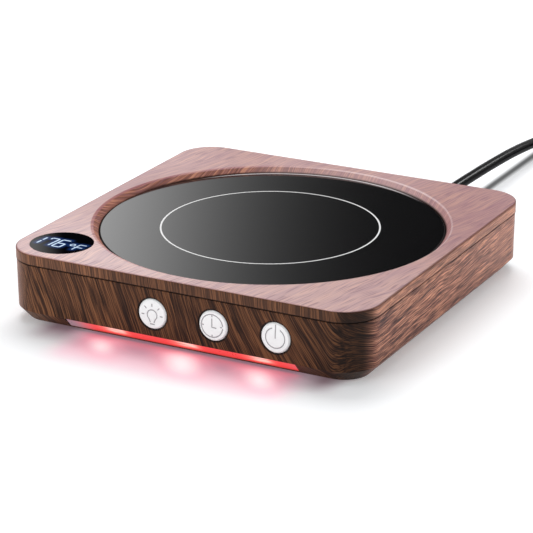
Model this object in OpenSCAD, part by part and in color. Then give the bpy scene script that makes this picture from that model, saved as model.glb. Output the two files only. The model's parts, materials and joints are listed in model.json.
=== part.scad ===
// Electric mug warmer: a low square case in two moulded shells, a sunk round glass plate with its
// heater stack below, a round display in one corner, three push buttons and a light strip in the
// front, and a mains lead at the back.
// Frame: millimetres, +Z up, origin on the table below the middle of the case, front at -Y.

/* [Case] */
// Width and depth of the case
body_w = 140; // [138:1:160]
// Height of the case from its base to its top face
case_h = 25.7; // [25.4:0.1:30]
// Radius of the case's upright corners
corner_r = 13; // [12:0.5:16]
// Thickness of the side walls at their foot
wall_t = 2.2; // [1.8:0.1:2.4]
// Thickness of the floor
floor_t = 2; // [1.6:0.1:2.4]
// How far the lower shell's sides lean in from lid to base
side_draft = 0.36; // [0.2:0.02:0.5]
// How far the lid stands out past the lower shell at the seam
lid_overhang = 0.15; // [0:0.01:0.2]
// Height of the slanting band round the base
chamfer_h = 4.1; // [3.4:0.1:4.4]
// How far the slanting band runs in
chamfer_in = 3.7; // [3.2:0.1:4.2]

/* [Lid] */
// Height of the lid's side above the seam
lid_h = 4.2; // [4:0.1:5]
// Thickness of the lid's top
lid_t = 2.4; // [2:0.1:2.8]
// Rounding of the lid's top edge
lid_edge_r = 0.4; // [0.2:0.05:1]
// Height of the groove between the shells
seam_gap = 0.4; // [0.2:0.05:0.6]
// Depth of the groove between the shells
seam_depth = 0.6; // [0.3:0.05:0.8]
// Thickness of the lid's tongue inside the lower shell
tongue_t = 1.2; // [1:0.1:1.4]
// Reach of the tongue below the seam
tongue_h = 1.8; // [1.2:0.1:2]

/* [Warming plate] */
// Width of the lid's top between its side and the recess
land_w = 5.4; // [4.6:0.1:6.4]
// Width of the bevel round the recess
bevel_w = 2.05; // [1.5:0.05:2.6]
// Thickness of the glass plate
glass_t = 3.5; // [3:0.1:4]
// Depth of the glass below the lid's top face
glass_drop = 2; // [1.4:0.1:2.4]
// Gap round the edge of the glass
glass_gap = 0.35; // [0.2:0.05:0.6]
// Polished chamfer on the edge of the glass
glass_edge = 0.4; // [0.2:0.05:0.6]
// Width of the ledge that carries the glass
seat_w = 5.5; // [4.5:0.1:6]
// Thickness of that ledge
seat_t = 2; // [1.6:0.1:2.4]
// Thickness of the silicone seal under the glass
seal_t = 0.4; // [0.3:0.05:0.6]
// Width of the silicone seal
seal_w = 3.6; // [3:0.1:4]

/* [Heater] */
// Distance from the ledge in to the edge of the aluminium heat spreader
spreader_in = 15; // [13:0.5:18]
// Thickness of the heat spreader
spreader_t = 1.5; // [1.2:0.1:1.6]
// Distance from the spreader's edge in to the edge of the heating element
element_in = 4; // [3:0.5:6]
// Thickness of the heating element
element_t = 1; // [0.8:0.1:1.2]
// Thickness of the insulating pad
pad_t = 3; // [2.4:0.1:3]
// Thickness of the steel bracket under the pad
bracket_t = 0.8; // [0.6:0.1:1]
// Width of the bracket's arms
arm_w = 9; // [7:0.5:10]

/* [Display] */
// Least width of the lid's top between the lens and the recess
lens_land = 1.56; // [1.2:0.02:2.4]
// Thickness of the display lens
lens_t = 1.6; // [1.2:0.1:1.8]
// Width of the digit block
digits_w = 7.6; // [6:0.2:7.8]
// Height of the digit block
digits_h = 3.4; // [3:0.1:3.6]

/* [Buttons] */
// Diameter of each button's cap
button_d = 10.84; // [9.6:0.02:11]
// Distance from button to button
button_pitch = 23.6; // [21:0.2:24]
// Middle button's distance to the right of the case's middle
button_shift = 14.2; // [10:0.2:15]
// How far the buttons lie below the middle of the wall between seam and slanting band
button_low = 0.5; // [0:0.1:1]
// How far a button goes in
button_travel = 0.5; // [0.3:0.05:0.6]
// Gap between a cap and its hole
button_gap = 0.3; // [0.2:0.05:0.4]
// How far a cap's flange reaches past its edge
flange_w = 0.8; // [0.6:0.05:0.9]

/* [Light strip] */
// Length of the light strip
strip_l = 90; // [70:1:96]
// Depth of the strip's face below the slanting band
strip_drop = 0.4; // [0.2:0.05:0.6]
// Distance from lamp to lamp
lamp_pitch = 28; // [20:1:30]

/* [Feet and screws] */
// Diameter of the rubber feet
foot_d = 12; // [10:0.5:13]
// How far the feet stand out below the case
foot_proud = 1; // [0.8:0.1:1.6]
// Depth of the wells that hold the feet
foot_well = 0.8; // [0.6:0.1:1]
// Distance of the feet's middles in from the sides
foot_in = 17; // [15:1:20]
// Diameter of the case screws
screw_d = 3; // [2.6:0.1:3.2]
// Distance of the case screws in from the front and the back
screw_in = 34; // [32:1:37]

/* [Mains lead] */
// Diameter of the lead
cord_d = 4.2; // [4:0.1:4.6]
// Distance of the lead to the right of the middle
cord_x = 24.5; // [18:0.5:26]

/* [Main board] */
// Depth of the main board from back to front
board_l = 46; // [42:1:52]
// Thickness of the circuit boards
board_t = 1.6; // [1:0.1:1.6]
// Height of the board's standoffs
standoff_h = 3; // [2:0.5:4]

/* [Hidden] */
$fn = 96;

fit = 0.1;         // clearance between pieces that are pushed together by hand
slide_fit = 0.05;  // clearance round a sliding plunger
screw_fit = 0.05;  // clearance between a screw and its hole
over = 1;          // how far a cut runs past the face that it opens
skin = 0.5;        // how far a boss or a collar is rooted in the wall that carries it

// Case
half_w = body_w / 2;
corner_c = half_w - corner_r;
base_z = foot_proud;
top_z = base_z + case_h;
seam_z = top_z - lid_h;
rim_z = seam_z + seam_gap / 2;
wall_in = half_w - side_draft - wall_t;
wall_u = wall_in - corner_c;
floor_z = base_z + floor_t;
tongue_in = wall_in - fit - tongue_t;
tongue_z = rim_z - tongue_h;

band_foot_u = corner_r - side_draft - chamfer_in;
band_angle = atan(chamfer_h / chamfer_in);
band_l = norm([chamfer_h, chamfer_in]);
band_drop = wall_t / cos(band_angle);

// Warming plate
rim_r = half_w - land_w;
pocket_r = rim_r - bevel_w;
pocket_wall = 2.2;
glass_r = pocket_r - glass_gap;
glass_top = top_z - glass_drop;
glass_low = glass_top - glass_t;
seat_z = glass_low - seal_t;
seat_in = pocket_r - seat_w;
rim_round = 0.3;

// Heater
spreader_r = seat_in - spreader_in;
element_r = spreader_r - element_in;
pad_r = element_r + 1;
cup_r = pad_r + 1.5;
cup_h = 2.2;
spreader_z = glass_low - spreader_t;
element_z = spreader_z - element_t;
pad_z = element_z - pad_t;
bracket_z = pad_z - bracket_t;
sense_hole_r = 5;
arm_r = seat_in + 2.3;
arm_angles = [90, 210, 330];
arm_boss_r = 3;
arm_screw_r = 1.1;
arm_screw_gap = 0.4;
arm_screw_head = [2.1, 1.2];
arm_screw_deep = 1;
arm_screw_l = seat_z - arm_screw_deep - arm_screw_gap - bracket_z;
tab_size = [5, 6];
tab_turn = 12;
tab_room = 1;
bead_r = 1.9;
bead_lead_r = 0.4;
bead_lead_l = 3;
fuse_r = 2;
fuse_l = 9;
fuse_lead = [0.5, 6];
fuse_y = -14;
clip_t = 0.5;
clip_l = 4;
clip_foot = 3;
clip_r = fuse_r + 0.03;

// Display
lens_side = 0.15;
lens_reach = tongue_in - lens_side;
lens_by_sides = (lens_reach * sqrt(2) - rim_r - lens_land) / (1 + sqrt(2));
lens_by_corner = (corner_c * sqrt(2) + lens_reach - corner_c - rim_r - lens_land) / 2;
lens_r = min(lens_by_sides, lens_by_corner);
display_c = (rim_r + lens_land + lens_r) / sqrt(2);
display_at = [-display_c, -display_c];
lens_ledge = 0.8;
window_w = digits_w + 2 * fit;
window_l = 2 * sqrt(pow(lens_r - lens_ledge, 2) - pow(window_w / 2, 2));
digits_l = window_l - 2 * fit;
digits_top = top_z - lens_t - 0.3;
display_board_z = digits_top - digits_h;
display_board_t = 1.2;
display_board_r = lens_r - 0.05;
display_screw_r = 0.7;
display_screw_l = 3.2;
display_screw_head = [1.2, 0.8];
display_screw_deep = 2.4;
display_screw_at = (window_w / 2 + lens_r) / 2;

// Buttons
button_z = (seam_z + base_z + chamfer_h) / 2 - button_low;
button_xs = [for (i = [-1:1]) button_shift + i * button_pitch];
cap_r = button_d / 2;
cap_front = -half_w + 0.05;
cap_edge = 0.5;
flange_r = cap_r + flange_w;
flange_t = 1;
flange_front = -wall_in + fit;
collar_bore_r = flange_r + fit;
collar_r = collar_bore_r + 0.9;
collar_l = flange_t + button_travel + 0.7;
stem_r = 2.2;
plunger_r = 1.75;
plunger_l = 2;
plunger_proud = 1;
switch_w = 6;
switch_h = 3.5;
slide_room = 0.3;
stem_room = 0.54;
switch_front = -wall_in + collar_l + stem_room + plunger_proud + button_travel;
stem_back = switch_front - plunger_proud;
button_board_y = switch_front + switch_h;
button_board_t = 1.4;
button_board_h = 8.4;
button_board_end = 8;
button_board_r = 1;
board_screw_r = 1;
board_screw_l = 6.5;
board_screw_head = [1.9, 1.1];
board_screw_end = 0.6;
board_boss_r = 2.4;
button_screw_xs = [for (i = [0, 1]) (button_xs[i] + button_xs[i + 1]) / 2];

// Light strip
strip_body = wall_t + fit;
strip_tab = [1.5, 2.6, 0.9];
strip_tab_up = (floor_t - strip_body * cos(band_angle)) / sin(band_angle) + 3 * fit;
light_board_w = 4.8;
light_board_t = 1;
light_board_y = -(corner_c + band_foot_u) + 2.6;
lamp_size = [3.8, 1.4, 1.6];

// Feet and case screws
foot_c = half_w - foot_in;
foot_edge = 0.4;
screw_r = screw_d / 2;
screw_head = [screw_r + 1.3, 1.8];
screw_well_r = screw_head[0] + 0.4;
lower_boss_r = screw_well_r + 1;
upper_boss_r = screw_r + 1.9;
screw_x = wall_in - lower_boss_r - 2.2;
screw_y = half_w - screw_in;
boss_meet_z = base_z + 12;
screw_ledge_z = base_z + 5;
screw_l = 14;
boss_rib_t = 1.2;
boss_rib_low = 1;

// Mains lead inside the case
cord_r = cord_d / 2;
back_hole_r = cord_r + 2.5;
relief_neck_r = back_hole_r - fit;
relief_collar_r = cord_r + 3.7;
relief_collar_t = 1.8;
relief_root_r = cord_r + 2.3;
relief_tip_r = cord_r + 0.9;
relief_end = [cord_r + 0.7, 1];
relief_ribs = 5;
relief_rib_share = 0.6;
relief_groove = 0.7;
relief_latch_r = cord_r + 3.1;
relief_latch_t = 1.4;
relief_in = half_w - wall_in + fit;
inner_cord_y = half_w - relief_in - relief_latch_t;
inner_cord_end = 4;
clamp_size = [18, 6, 2.6];
clamp_gap = 0.4;
clamp_out = cord_x + clamp_size[0] / 2;
clamp_y = sqrt(pow(seat_in, 2) - pow(clamp_out, 2)) - clamp_gap - clamp_size[1] / 2;
clamp_screw_at = 5.8;
clamp_screw_r = 1.2;
clamp_screw_l = 8;
clamp_screw_head = [2.2, 1.3];
clamp_pinch = 0.2;
clamp_fit = 0.02;

// Main board, from the left screw boss to the lead's clamp
board_gap = 1;
board_back = wall_in - 7.44;
board_left = -(screw_x - lower_boss_r - board_gap);
board_right = cord_x - clamp_size[0] / 2 - board_gap;
board_corner = 2;
board_z = floor_z + standoff_h;
parts_z = board_z + board_t;
standoff_r = 3;
hole_in = 3.5;
main_screw_r = 1.2;
main_screw_l = board_t + standoff_h - 0.2;
main_screw_head = [2.3, 1.3];
main_screw_holes = [for (x = [board_left + hole_in, board_right - hole_in])
    for (y = [board_back - board_l + hole_in, board_back - hole_in]) [x, y]];

// Parts of the main board: the back row by its back, the front row by the board's front
back_row = board_back - 3;
front_row = board_back - board_l + 9;
part_inset = 7;
row_gap = [3, 8];
relay_size = [12, 8, 8];
relay_x = board_left + part_inset + 1;
relay_corner = 0.6;
windings_size = [14, 11, 3];
bobbin_size = [11, 9, 4.4];
core_size = [7, 12.2, 2.4];
transformer_x = relay_x + relay_size[0] + row_gap[0];
terminal_size = [10, 7, 6];
terminal_x = transformer_x + windings_size[0] + row_gap[0];
terminal_port = [2.4, 3.4];
can_r = 3.15;
can_l = 11;
can_gap = 0.9;
can_x = board_left + part_inset;
buzzer_size = [4.5, 4];
buzzer_port = [0.8, 1.5];
buzzer_x = can_x + can_l + row_gap[1] + buzzer_size[0];
mains_fuse_size = [2.2, 10];
fuse_cap = [0.2, 1.5];
mains_fuse_x = buzzer_x + buzzer_size[0] + row_gap[1] + mains_fuse_size[0];

// Route of the lead from where it leaves the case to its coil: x and y from the exit, z from the
// table. The first point is the strain relief's tip.
cord_route = [
    [0, 24, 11.5], [0, 30, 11.5], [0, 38, 11.4], [0, 48, 11.2], [0, 58, 10.9],
    [0, 68, 10.6], [0, 80, 10.1], [0, 92, 9.5], [0, 104, 8.6], [0, 116, 7.4],
    [0, 128, 5.9], [0, 138, 4.7], [0, 147, 3.7], [0, 156, 2.9], [0, 165, 2.7]
];
// Route of the lead from its coil to the plug
tail_route = [
    [64.9, 165, 6.9], [64.9, 158, 6.9], [65, 151, 6.8], [65.4, 144, 6.7], [65.8, 137, 6.6],
    [66, 130, 6.5], [66, 125, 6.5]
];
cord_z = cord_route[0][2];
relief_l = cord_route[0][1];
tube_sides = 8;
coil_at = [33.5, 165];
coil_turns = 4;
coil_out_r = 33.5;
coil_levels = 2;
coil_in_r = coil_out_r - coil_turns * cord_d;
coil_wall = [coil_in_r - cord_r, coil_out_r + cord_r];
coil_h = coil_levels * cord_d + 0.1;
coil_edge = 1.4;
tie_t = 0.6;
tie_span = 14;
tie_turn = 50;
tie_fit = 0.03;

plug_at = tail_route[len(tail_route) - 1];
plug_neck_l = 17;
plug_neck_r = [cord_r + 0.8, cord_r + 2.1];
plug_size = [25, 24, 13];
plug_round = 3;
plug_taper = [0.6, 0.7];
plug_shoulder = 0.4;
plug_lip = 1;
blade_size = [1.5, 16, 6.3];
blade_gap = 12.7;
blade_hole = [1.6, 4];

// ---- Shapes that several pieces share ----

// The children's profile [u, z] carried round the case's outline, u outwards from the corner axes
module round_outline() {
    for (turn = [0:90:270]) rotate([0, 0, turn]) translate([corner_c, corner_c, 0]) {
        rotate_extrude(angle = 90) children();
        rotate([90, 0, 0]) linear_extrude(2 * corner_c) children();
    }
}

// A slab with that profile as its edge, filled between the corner axes from low to high
module slab(low, high) {
    round_outline() children();
    translate([-corner_c, -corner_c, low]) cube([2 * corner_c, 2 * corner_c, high - low]);
}

// A cylinder from one height to another
module rod(r, low, high) {
    translate([0, 0, low]) cylinder(r = r, h = high - low);
}

// The children turned so that their +Z points to the back
module facing_back() {
    rotate([-90, 0, 0]) children();
}

// A pan-head screw: head down at z = 0, shank upwards, head given as [radius, height]
module pan_screw(r, l, head) {
    rotate_extrude() polygon([
        [0, -head[1]], [head[0] * 0.7, -head[1]], [head[0], -head[1] * 0.5], [head[0], 0], [r, 0],
        [r, l - r], [r * 0.3, l], [0, l]
    ]);
}

// The children at all four mirrored places of a point
module four_ways(x, y) {
    for (sx = [-1, 1]) for (sy = [-1, 1]) translate([sx * x, sy * y, 0]) children();
}

// A thin slab whose upright corners are rounded
module board(size, r) {
    translate([r, 0, 0]) cube([size[0] - 2 * r, size[1], size[2]]);
    translate([0, r, 0]) cube([size[0], size[1] - 2 * r, size[2]]);
    for (x = [r, size[0] - r]) for (y = [r, size[1] - r])
        translate([x, y, 0]) cylinder(r = r, h = size[2], $fn = 48);
}

function unit(v) = v / norm(v);
function heading(path, i) = unit(path[min(i + 1, len(path) - 1)] - path[max(i - 1, 0)]);
function ring_of(path, i, r) =
    let (ahead = heading(path, i), side = unit(cross(ahead, [0, 0, 1])), up = cross(side, ahead))
    [for (k = [0:tube_sides - 1])
        path[i] + r * (cos(360 * k / tube_sides) * side + sin(360 * k / tube_sides) * up)];

// A round tube swept along a path of points
module swept_tube(path, r) {
    last = len(path) - 1;
    points = [for (i = [0:last]) each ring_of(path, i, r)];
    walls = [for (i = [0:last - 1]) for (k = [0:tube_sides - 1])
        let (next = (k + 1) % tube_sides, a = i * tube_sides, b = a + tube_sides)
        [a + k, a + next, b + next, b + k]];
    near_end = [for (k = [tube_sides - 1:-1:0]) k];
    far_end = [for (k = [0:tube_sides - 1]) last * tube_sides + k];
    polyhedron(points, concat([near_end, far_end], walls), convexity = 6);
}

// ---- Case ----

module lid_edge_profile() {
    square_h = top_z - rim_z;
    translate([0, rim_z]) square([corner_r, square_h - lid_edge_r]);
    translate([0, rim_z]) square([corner_r - lid_edge_r, square_h]);
    translate([corner_r - lid_edge_r, top_z - lid_edge_r]) circle(r = lid_edge_r, $fn = 32);
}

module tongue_profile() {
    translate([tongue_in - corner_c, tongue_z]) square([tongue_t, top_z - lid_t - tongue_z]);
}

module lid_hollow_profile() {
    translate([0, rim_z - over]) square([tongue_in - corner_c, top_z - lid_t - rim_z + over]);
}

module plate_recess() {
    low = seat_z - seat_t - over;
    rise = over * bevel_w / glass_drop;
    rotate_extrude($fn = 192) polygon([
        [0, low], [seat_in, low], [seat_in, seat_z], [pocket_r, seat_z], [pocket_r, glass_top],
        [rim_r - rim_round, top_z - rim_round], [rim_r + rim_round, top_z],
        [rim_r + rim_round + rise, top_z + over], [0, top_z + over]
    ]);
}

module display_well() {
    translate(display_at) {
        rod(lens_r + fit, top_z - lens_t, top_z + over);
        translate([-window_l / 2, -window_w / 2, display_board_z - over])
            cube([window_l, window_w, top_z - display_board_z + over]);
        for (turn = [90, 270]) rotate([0, 0, turn]) translate([display_screw_at, 0, 0])
            rod(display_screw_r + screw_fit, display_board_z - over,
                display_board_z + display_screw_deep, $fn = 32);
    }
}

module upper_bosses() {
    four_ways(screw_x, screw_y) rod(upper_boss_r, boss_meet_z, top_z - lid_t);
    for (turn = arm_angles) rotate([0, 0, turn]) translate([arm_r, 0, 0])
        rod(arm_boss_r, pad_z, seat_z - seat_t + skin);
}

module upper_boss_holes() {
    four_ways(screw_x, screw_y)
        rod(screw_r + screw_fit, boss_meet_z - over, screw_ledge_z + screw_l + over, $fn = 48);
    for (turn = arm_angles) rotate([0, 0, turn]) translate([arm_r, 0, 0])
        rod(arm_screw_r + screw_fit, pad_z - over, seat_z - arm_screw_deep, $fn = 48);
}

// Room in the tongue for the button collars
module collar_reliefs() {
    for (x = button_xs) translate([x, -wall_in - skin - fit, button_z]) facing_back()
        rod(collar_r + fit, 0, skin + collar_l + 2 * fit);
}

module top_cover() color("rosybrown") difference() {
    union() {
        difference() {
            slab(rim_z, top_z) lid_edge_profile();
            slab(rim_z - over, top_z - lid_t) lid_hollow_profile();
        }
        round_outline() tongue_profile();
        rod(pocket_r + pocket_wall, seat_z - seat_t, top_z - lid_t);
        translate(display_at) rod(lens_r, display_board_z, top_z - lid_t);
        upper_bosses();
    }
    plate_recess();
    display_well();
    upper_boss_holes();
    collar_reliefs();
}

module shell_profile() {
    polygon([
        [0, base_z], [band_foot_u, base_z], [corner_r - side_draft, base_z + chamfer_h],
        [corner_r - lid_overhang, seam_z - seam_gap / 2],
        [corner_r - lid_overhang - seam_depth, seam_z - seam_gap / 2],
        [corner_r - lid_overhang - seam_depth, rim_z], [0, rim_z]
    ]);
}

module shell_hollow_profile() {
    slope = tan(band_angle);
    polygon([
        [0, floor_z], [band_foot_u + (floor_t - band_drop) / slope, floor_z],
        [wall_u, base_z + band_drop + (wall_u - band_foot_u) * slope],
        [wall_u, rim_z + over], [0, rim_z + over]
    ]);
}

// The children in the slanting band's own axes: X along it, Y up its face, Z into the case
module on_front_band() {
    translate([0, -(corner_c + band_foot_u), base_z]) rotate([180 - band_angle, 0, 0])
        mirror([0, 0, 1]) children();
}

module strip_window() {
    on_front_band() translate([-strip_l / 2, 0, -over]) cube([strip_l, band_l, wall_t + 2 * over]);
}

module button_collars() {
    for (x = button_xs) translate([x, -wall_in, button_z]) facing_back() difference() {
        rod(collar_r, -skin, collar_l);
        rod(collar_bore_r, -over, collar_l + over);
    }
}

module button_holes() {
    for (x = button_xs) translate([x, -half_w, button_z]) facing_back()
        rod(cap_r + button_gap, -over, half_w - wall_in + over);
}

module button_board_bosses() {
    boss_l = button_board_y + wall_in;
    for (x = button_screw_xs) translate([x, -wall_in, button_z]) facing_back() difference() {
        rod(board_boss_r, -skin, boss_l);
        rod(board_screw_r + screw_fit, board_screw_end, boss_l + over, $fn = 48);
    }
}

module lower_bosses() {
    four_ways(screw_x, screw_y) rod(lower_boss_r, floor_z - skin, boss_meet_z);
    for (p = main_screw_holes) translate(p) rod(standoff_r, floor_z - skin, board_z);
}

// Webs that tie the case screws' bosses to the side walls, kept inside the case's outline
module boss_ribs() intersection() {
    height = boss_meet_z - boss_rib_low - floor_z + skin;
    slab(base_z, rim_z) shell_profile();
    for (side = [-1, 1]) for (y = [-screw_y, screw_y])
        translate([side * (screw_x + wall_in + skin) / 2, y, floor_z - skin + height / 2])
            cube([wall_in + skin - screw_x, boss_rib_t, height], center = true);
}

module lower_boss_holes() {
    four_ways(screw_x, screw_y) {
        rod(screw_well_r, base_z - over, screw_ledge_z);
        rod(screw_r + screw_fit, screw_ledge_z - over, boss_meet_z + over, $fn = 48);
    }
    for (p = main_screw_holes) translate(p)
        rod(main_screw_r + screw_fit, floor_z, board_z + over, $fn = 48);
    four_ways(foot_c, foot_c) rod(foot_d / 2 + fit, base_z - over, base_z + foot_well);
}

// The lead's own shape through the clamp
module clamp_groove() {
    translate([cord_x, clamp_y - clamp_size[1], cord_z]) facing_back()
        rod(cord_r + clamp_fit, 0, 2 * clamp_size[1], $fn = 48);
}

module clamp_saddle() {
    difference() {
        translate([cord_x - clamp_size[0] / 2, clamp_y - clamp_size[1] / 2, floor_z - skin])
            cube([clamp_size[0], clamp_size[1], cord_z - clamp_pinch - floor_z + skin]);
        clamp_groove();
        for (side = [-1, 1]) translate([cord_x + side * clamp_screw_at, clamp_y, 0])
            rod(clamp_screw_r + screw_fit, floor_z, cord_z + over, $fn = 48);
    }
}

module back_hole() {
    translate([cord_x, wall_in - over, cord_z]) facing_back()
        rod(back_hole_r, 0, half_w - wall_in + 2 * over);
}

module lower_shell() color("saddlebrown") {
    difference() {
        union() {
            difference() {
                slab(base_z, rim_z) shell_profile();
                slab(floor_z, rim_z + over) shell_hollow_profile();
            }
            lower_bosses();
            boss_ribs();
            button_collars();
        }
        lower_boss_holes();
        strip_window();
        button_holes();
        back_hole();
    }
    button_board_bosses();
    clamp_saddle();
}

module rubber_feet() color("black") {
    height = foot_proud + foot_well;
    four_ways(foot_c, foot_c) rotate_extrude() polygon([
        [0, 0], [foot_d / 2 - foot_edge, 0], [foot_d / 2, foot_edge], [foot_d / 2, height], [0, height]
    ]);
}

module case_screws() color("silver")
    four_ways(screw_x, screw_y) translate([0, 0, screw_ledge_z])
        pan_screw(screw_r, screw_l, screw_head);

// ---- Warming plate and heater ----

module glass_plate() color("dimgray")
    rotate_extrude($fn = 192) polygon([
        [0, glass_low], [glass_r - glass_edge, glass_low], [glass_r, glass_low + glass_edge],
        [glass_r, glass_top - glass_edge], [glass_r - glass_edge, glass_top], [0, glass_top]
    ]);

module glass_seal() color("black") difference() {
    rod(glass_r - glass_edge, seat_z, glass_low);
    rod(glass_r - glass_edge - seal_w, seat_z - over, glass_low + over);
}

module heat_spreader() color("silver")
    rod(spreader_r, spreader_z, glass_low);

// The children at the two places of the heating element's tabs
module at_tabs() {
    for (turn = [-tab_turn, tab_turn]) rotate([0, 0, turn]) translate([element_r, 0, 0]) children();
}

module heating_element() color("goldenrod") {
    difference() {
        rod(element_r, element_z, spreader_z);
        rod(sense_hole_r, element_z - over, spreader_z + over);
    }
    at_tabs() translate([-over, -tab_size[1] / 2, element_z])
        cube([tab_size[0] + over, tab_size[1], element_t / 2]);
}

module insulation_pad() color("white") difference() {
    rod(pad_r, pad_z, element_z);
    rod(sense_hole_r, pad_z - over, element_z + over);
    at_tabs() translate([-tab_size[0], -tab_size[1] / 2 - tab_room, element_z - tab_room])
        cube([2 * tab_size[0], tab_size[1] + 2 * tab_room, over + tab_room]);
}

module bracket_arm() {
    translate([0, -arm_w / 2, bracket_z]) cube([arm_r, arm_w, bracket_t]);
    translate([arm_r, 0, 0]) rod(arm_w / 2, bracket_z, pad_z);
}

module heater_bracket() color("lightgray") difference() {
    union() {
        rod(cup_r, bracket_z, pad_z);
        difference() {
            rod(cup_r, pad_z - bracket_t / 2, pad_z + cup_h);
            rod(cup_r - bracket_t, pad_z - bracket_t, pad_z + cup_h + over);
        }
        for (turn = arm_angles) rotate([0, 0, turn]) bracket_arm();
    }
    rod(sense_hole_r, bracket_z - over, pad_z + over);
    for (turn = arm_angles) rotate([0, 0, turn]) translate([arm_r, 0, 0])
        rod(arm_screw_r + screw_fit, bracket_z - over, pad_z + over, $fn = 48);
}

module bracket_screws() color("silver")
    for (turn = arm_angles) rotate([0, 0, turn]) translate([arm_r, 0, bracket_z])
        pan_screw(arm_screw_r, arm_screw_l, arm_screw_head, $fn = 48);

module thermistor() color("sienna") {
    rod(bead_r, bracket_z, spreader_z, $fn = 48);
    for (side = [-1, 1]) translate([side * bead_r / 2, 0, 0])
        rod(bead_lead_r, bracket_z - bead_lead_l, bracket_z, $fn = 24);
}

module thermal_fuse() color("lightsteelblue")
    translate([0, fuse_y, bracket_z - fuse_r]) rotate([0, 90, 0]) {
        rod(fuse_r, -fuse_l / 2, fuse_l / 2, $fn = 48);
        rod(fuse_lead[0], -fuse_l / 2 - fuse_lead[1], fuse_l / 2 + fuse_lead[1], $fn = 24);
    }

module fuse_clip() color("silver")
    translate([-clip_l / 2, fuse_y, bracket_z - fuse_r]) rotate([90, 0, 90]) linear_extrude(clip_l)
        difference() {
            union() {
                circle(r = clip_r + clip_t);
                translate([-clip_r - clip_t, 0]) square([2 * (clip_r + clip_t), fuse_r]);
                translate([-clip_r - clip_foot, fuse_r - clip_t])
                    square([2 * (clip_r + clip_foot), clip_t]);
            }
            circle(r = clip_r);
            translate([-clip_r, 0]) square([2 * clip_r, fuse_r + over]);
        }

// ---- Display ----

module display_lens() color("black")
    translate(display_at) rod(lens_r, top_z - lens_t, top_z);

module display_digits() color("white")
    translate([display_at[0] - digits_l / 2, display_at[1] - digits_w / 2, display_board_z])
        cube([digits_l, digits_w, digits_h]);

module display_board() color("darkgreen") translate(display_at) difference() {
    rod(display_board_r, display_board_z - display_board_t, display_board_z);
    for (turn = [90, 270]) rotate([0, 0, turn]) translate([display_screw_at, 0, 0])
        rod(display_screw_r + screw_fit, display_board_z - display_board_t - over,
            display_board_z + over, $fn = 32);
}

module display_screws() color("silver") translate(display_at)
    for (turn = [90, 270]) rotate([0, 0, turn])
        translate([display_screw_at, 0, display_board_z - display_board_t])
            pan_screw(display_screw_r, display_screw_l, display_screw_head, $fn = 32);

// ---- Buttons ----

// A cap with its flange and stem, +Z into the case, its front face at z = 0
module button_cap() {
    flange_at = flange_front - cap_front;
    stem_end = stem_back - cap_front;
    rotate_extrude() polygon([
        [0, 0], [cap_r - cap_edge, 0], [cap_r, cap_edge], [cap_r, flange_at], [flange_r, flange_at],
        [flange_r, flange_at + flange_t], [stem_r, flange_at + flange_t], [stem_r, stem_end],
        [0, stem_end]
    ]);
}

module button(i) color("whitesmoke")
    translate([button_xs[i], cap_front, button_z]) facing_back() button_cap();

module plunger(i) color("black")
    translate([button_xs[i], stem_back, button_z]) facing_back() rod(plunger_r, 0, plunger_l, $fn = 48);

module button_light() button(0);
module button_timer() button(1);
module button_power() button(2);
module plunger_light() plunger(0);
module plunger_timer() plunger(1);
module plunger_power() plunger(2);

module button_board() color("darkgreen") difference() {
    translate([button_xs[0] - button_board_end, button_board_y + button_board_t,
               button_z - button_board_h / 2])
        rotate([90, 0, 0])
            board([button_xs[2] - button_xs[0] + 2 * button_board_end, button_board_h, button_board_t],
                button_board_r);
    for (x = button_screw_xs) translate([x, button_board_y, button_z]) facing_back()
        rod(board_screw_r + screw_fit, -over, button_board_t + over, $fn = 48);
}

module switch_bodies() color("dimgray")
    for (x = button_xs) translate([x, switch_front, button_z]) facing_back() difference() {
        translate([-switch_w / 2, -switch_w / 2, 0]) cube([switch_w, switch_w, switch_h]);
        rod(plunger_r + slide_fit, -over, plunger_l - plunger_proud + button_travel + slide_room,
            $fn = 48);
    }

module board_screws() color("silver")
    for (x = button_screw_xs) translate([x, button_board_y + button_board_t, button_z])
        rotate([90, 0, 0]) pan_screw(board_screw_r, board_screw_l, board_screw_head, $fn = 48);

// ---- Light strip ----

module light_diffuser() color("tomato") on_front_band() {
    translate([-strip_l / 2 + fit, fit, strip_drop])
        cube([strip_l - 2 * fit, band_l - 2 * fit, strip_body - strip_drop]);
    for (side = [-1, 1])
        translate([side * strip_l / 2 - strip_tab[0], strip_tab_up, strip_body])
            cube([2 * strip_tab[0], strip_tab[1], strip_tab[2]]);
}

module light_board() color("whitesmoke")
    translate([-strip_l / 2, light_board_y, floor_z]) cube([strip_l, light_board_w, light_board_t]);

module light_lamps() color("lightyellow")
    for (i = [-1:1])
        translate([i * lamp_pitch - lamp_size[0] / 2, light_board_y, floor_z + light_board_t])
            cube(lamp_size);

// ---- Main board and its parts ----

module main_board() color("darkgreen") difference() {
    translate([board_left, board_back - board_l, board_z])
        board([board_right - board_left, board_l, board_t], board_corner);
    for (p = main_screw_holes) translate(p)
        rod(main_screw_r + screw_fit, board_z - over, parts_z + over, $fn = 48);
}

module main_board_screws() color("silver")
    for (p = main_screw_holes) translate([p[0], p[1], parts_z]) rotate([180, 0, 0])
        pan_screw(main_screw_r, main_screw_l, main_screw_head, $fn = 48);

// A block by its left end, its back face and its underside
module block(x, back, z, size) {
    translate([x, back - size[1], z]) cube(size);
}

module transformer() color("gold") {
    middle_x = transformer_x + windings_size[0] / 2;
    middle_y = back_row - windings_size[1] / 2;
    bobbin_z = parts_z + windings_size[2];
    core_z = bobbin_z + (bobbin_size[2] - core_size[2]) / 2;
    block(transformer_x, back_row, parts_z, windings_size);
    block(middle_x - bobbin_size[0] / 2, middle_y + bobbin_size[1] / 2, bobbin_z, bobbin_size);
    block(middle_x - core_size[0] / 2, middle_y + core_size[1] / 2, core_z, core_size);
}

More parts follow.
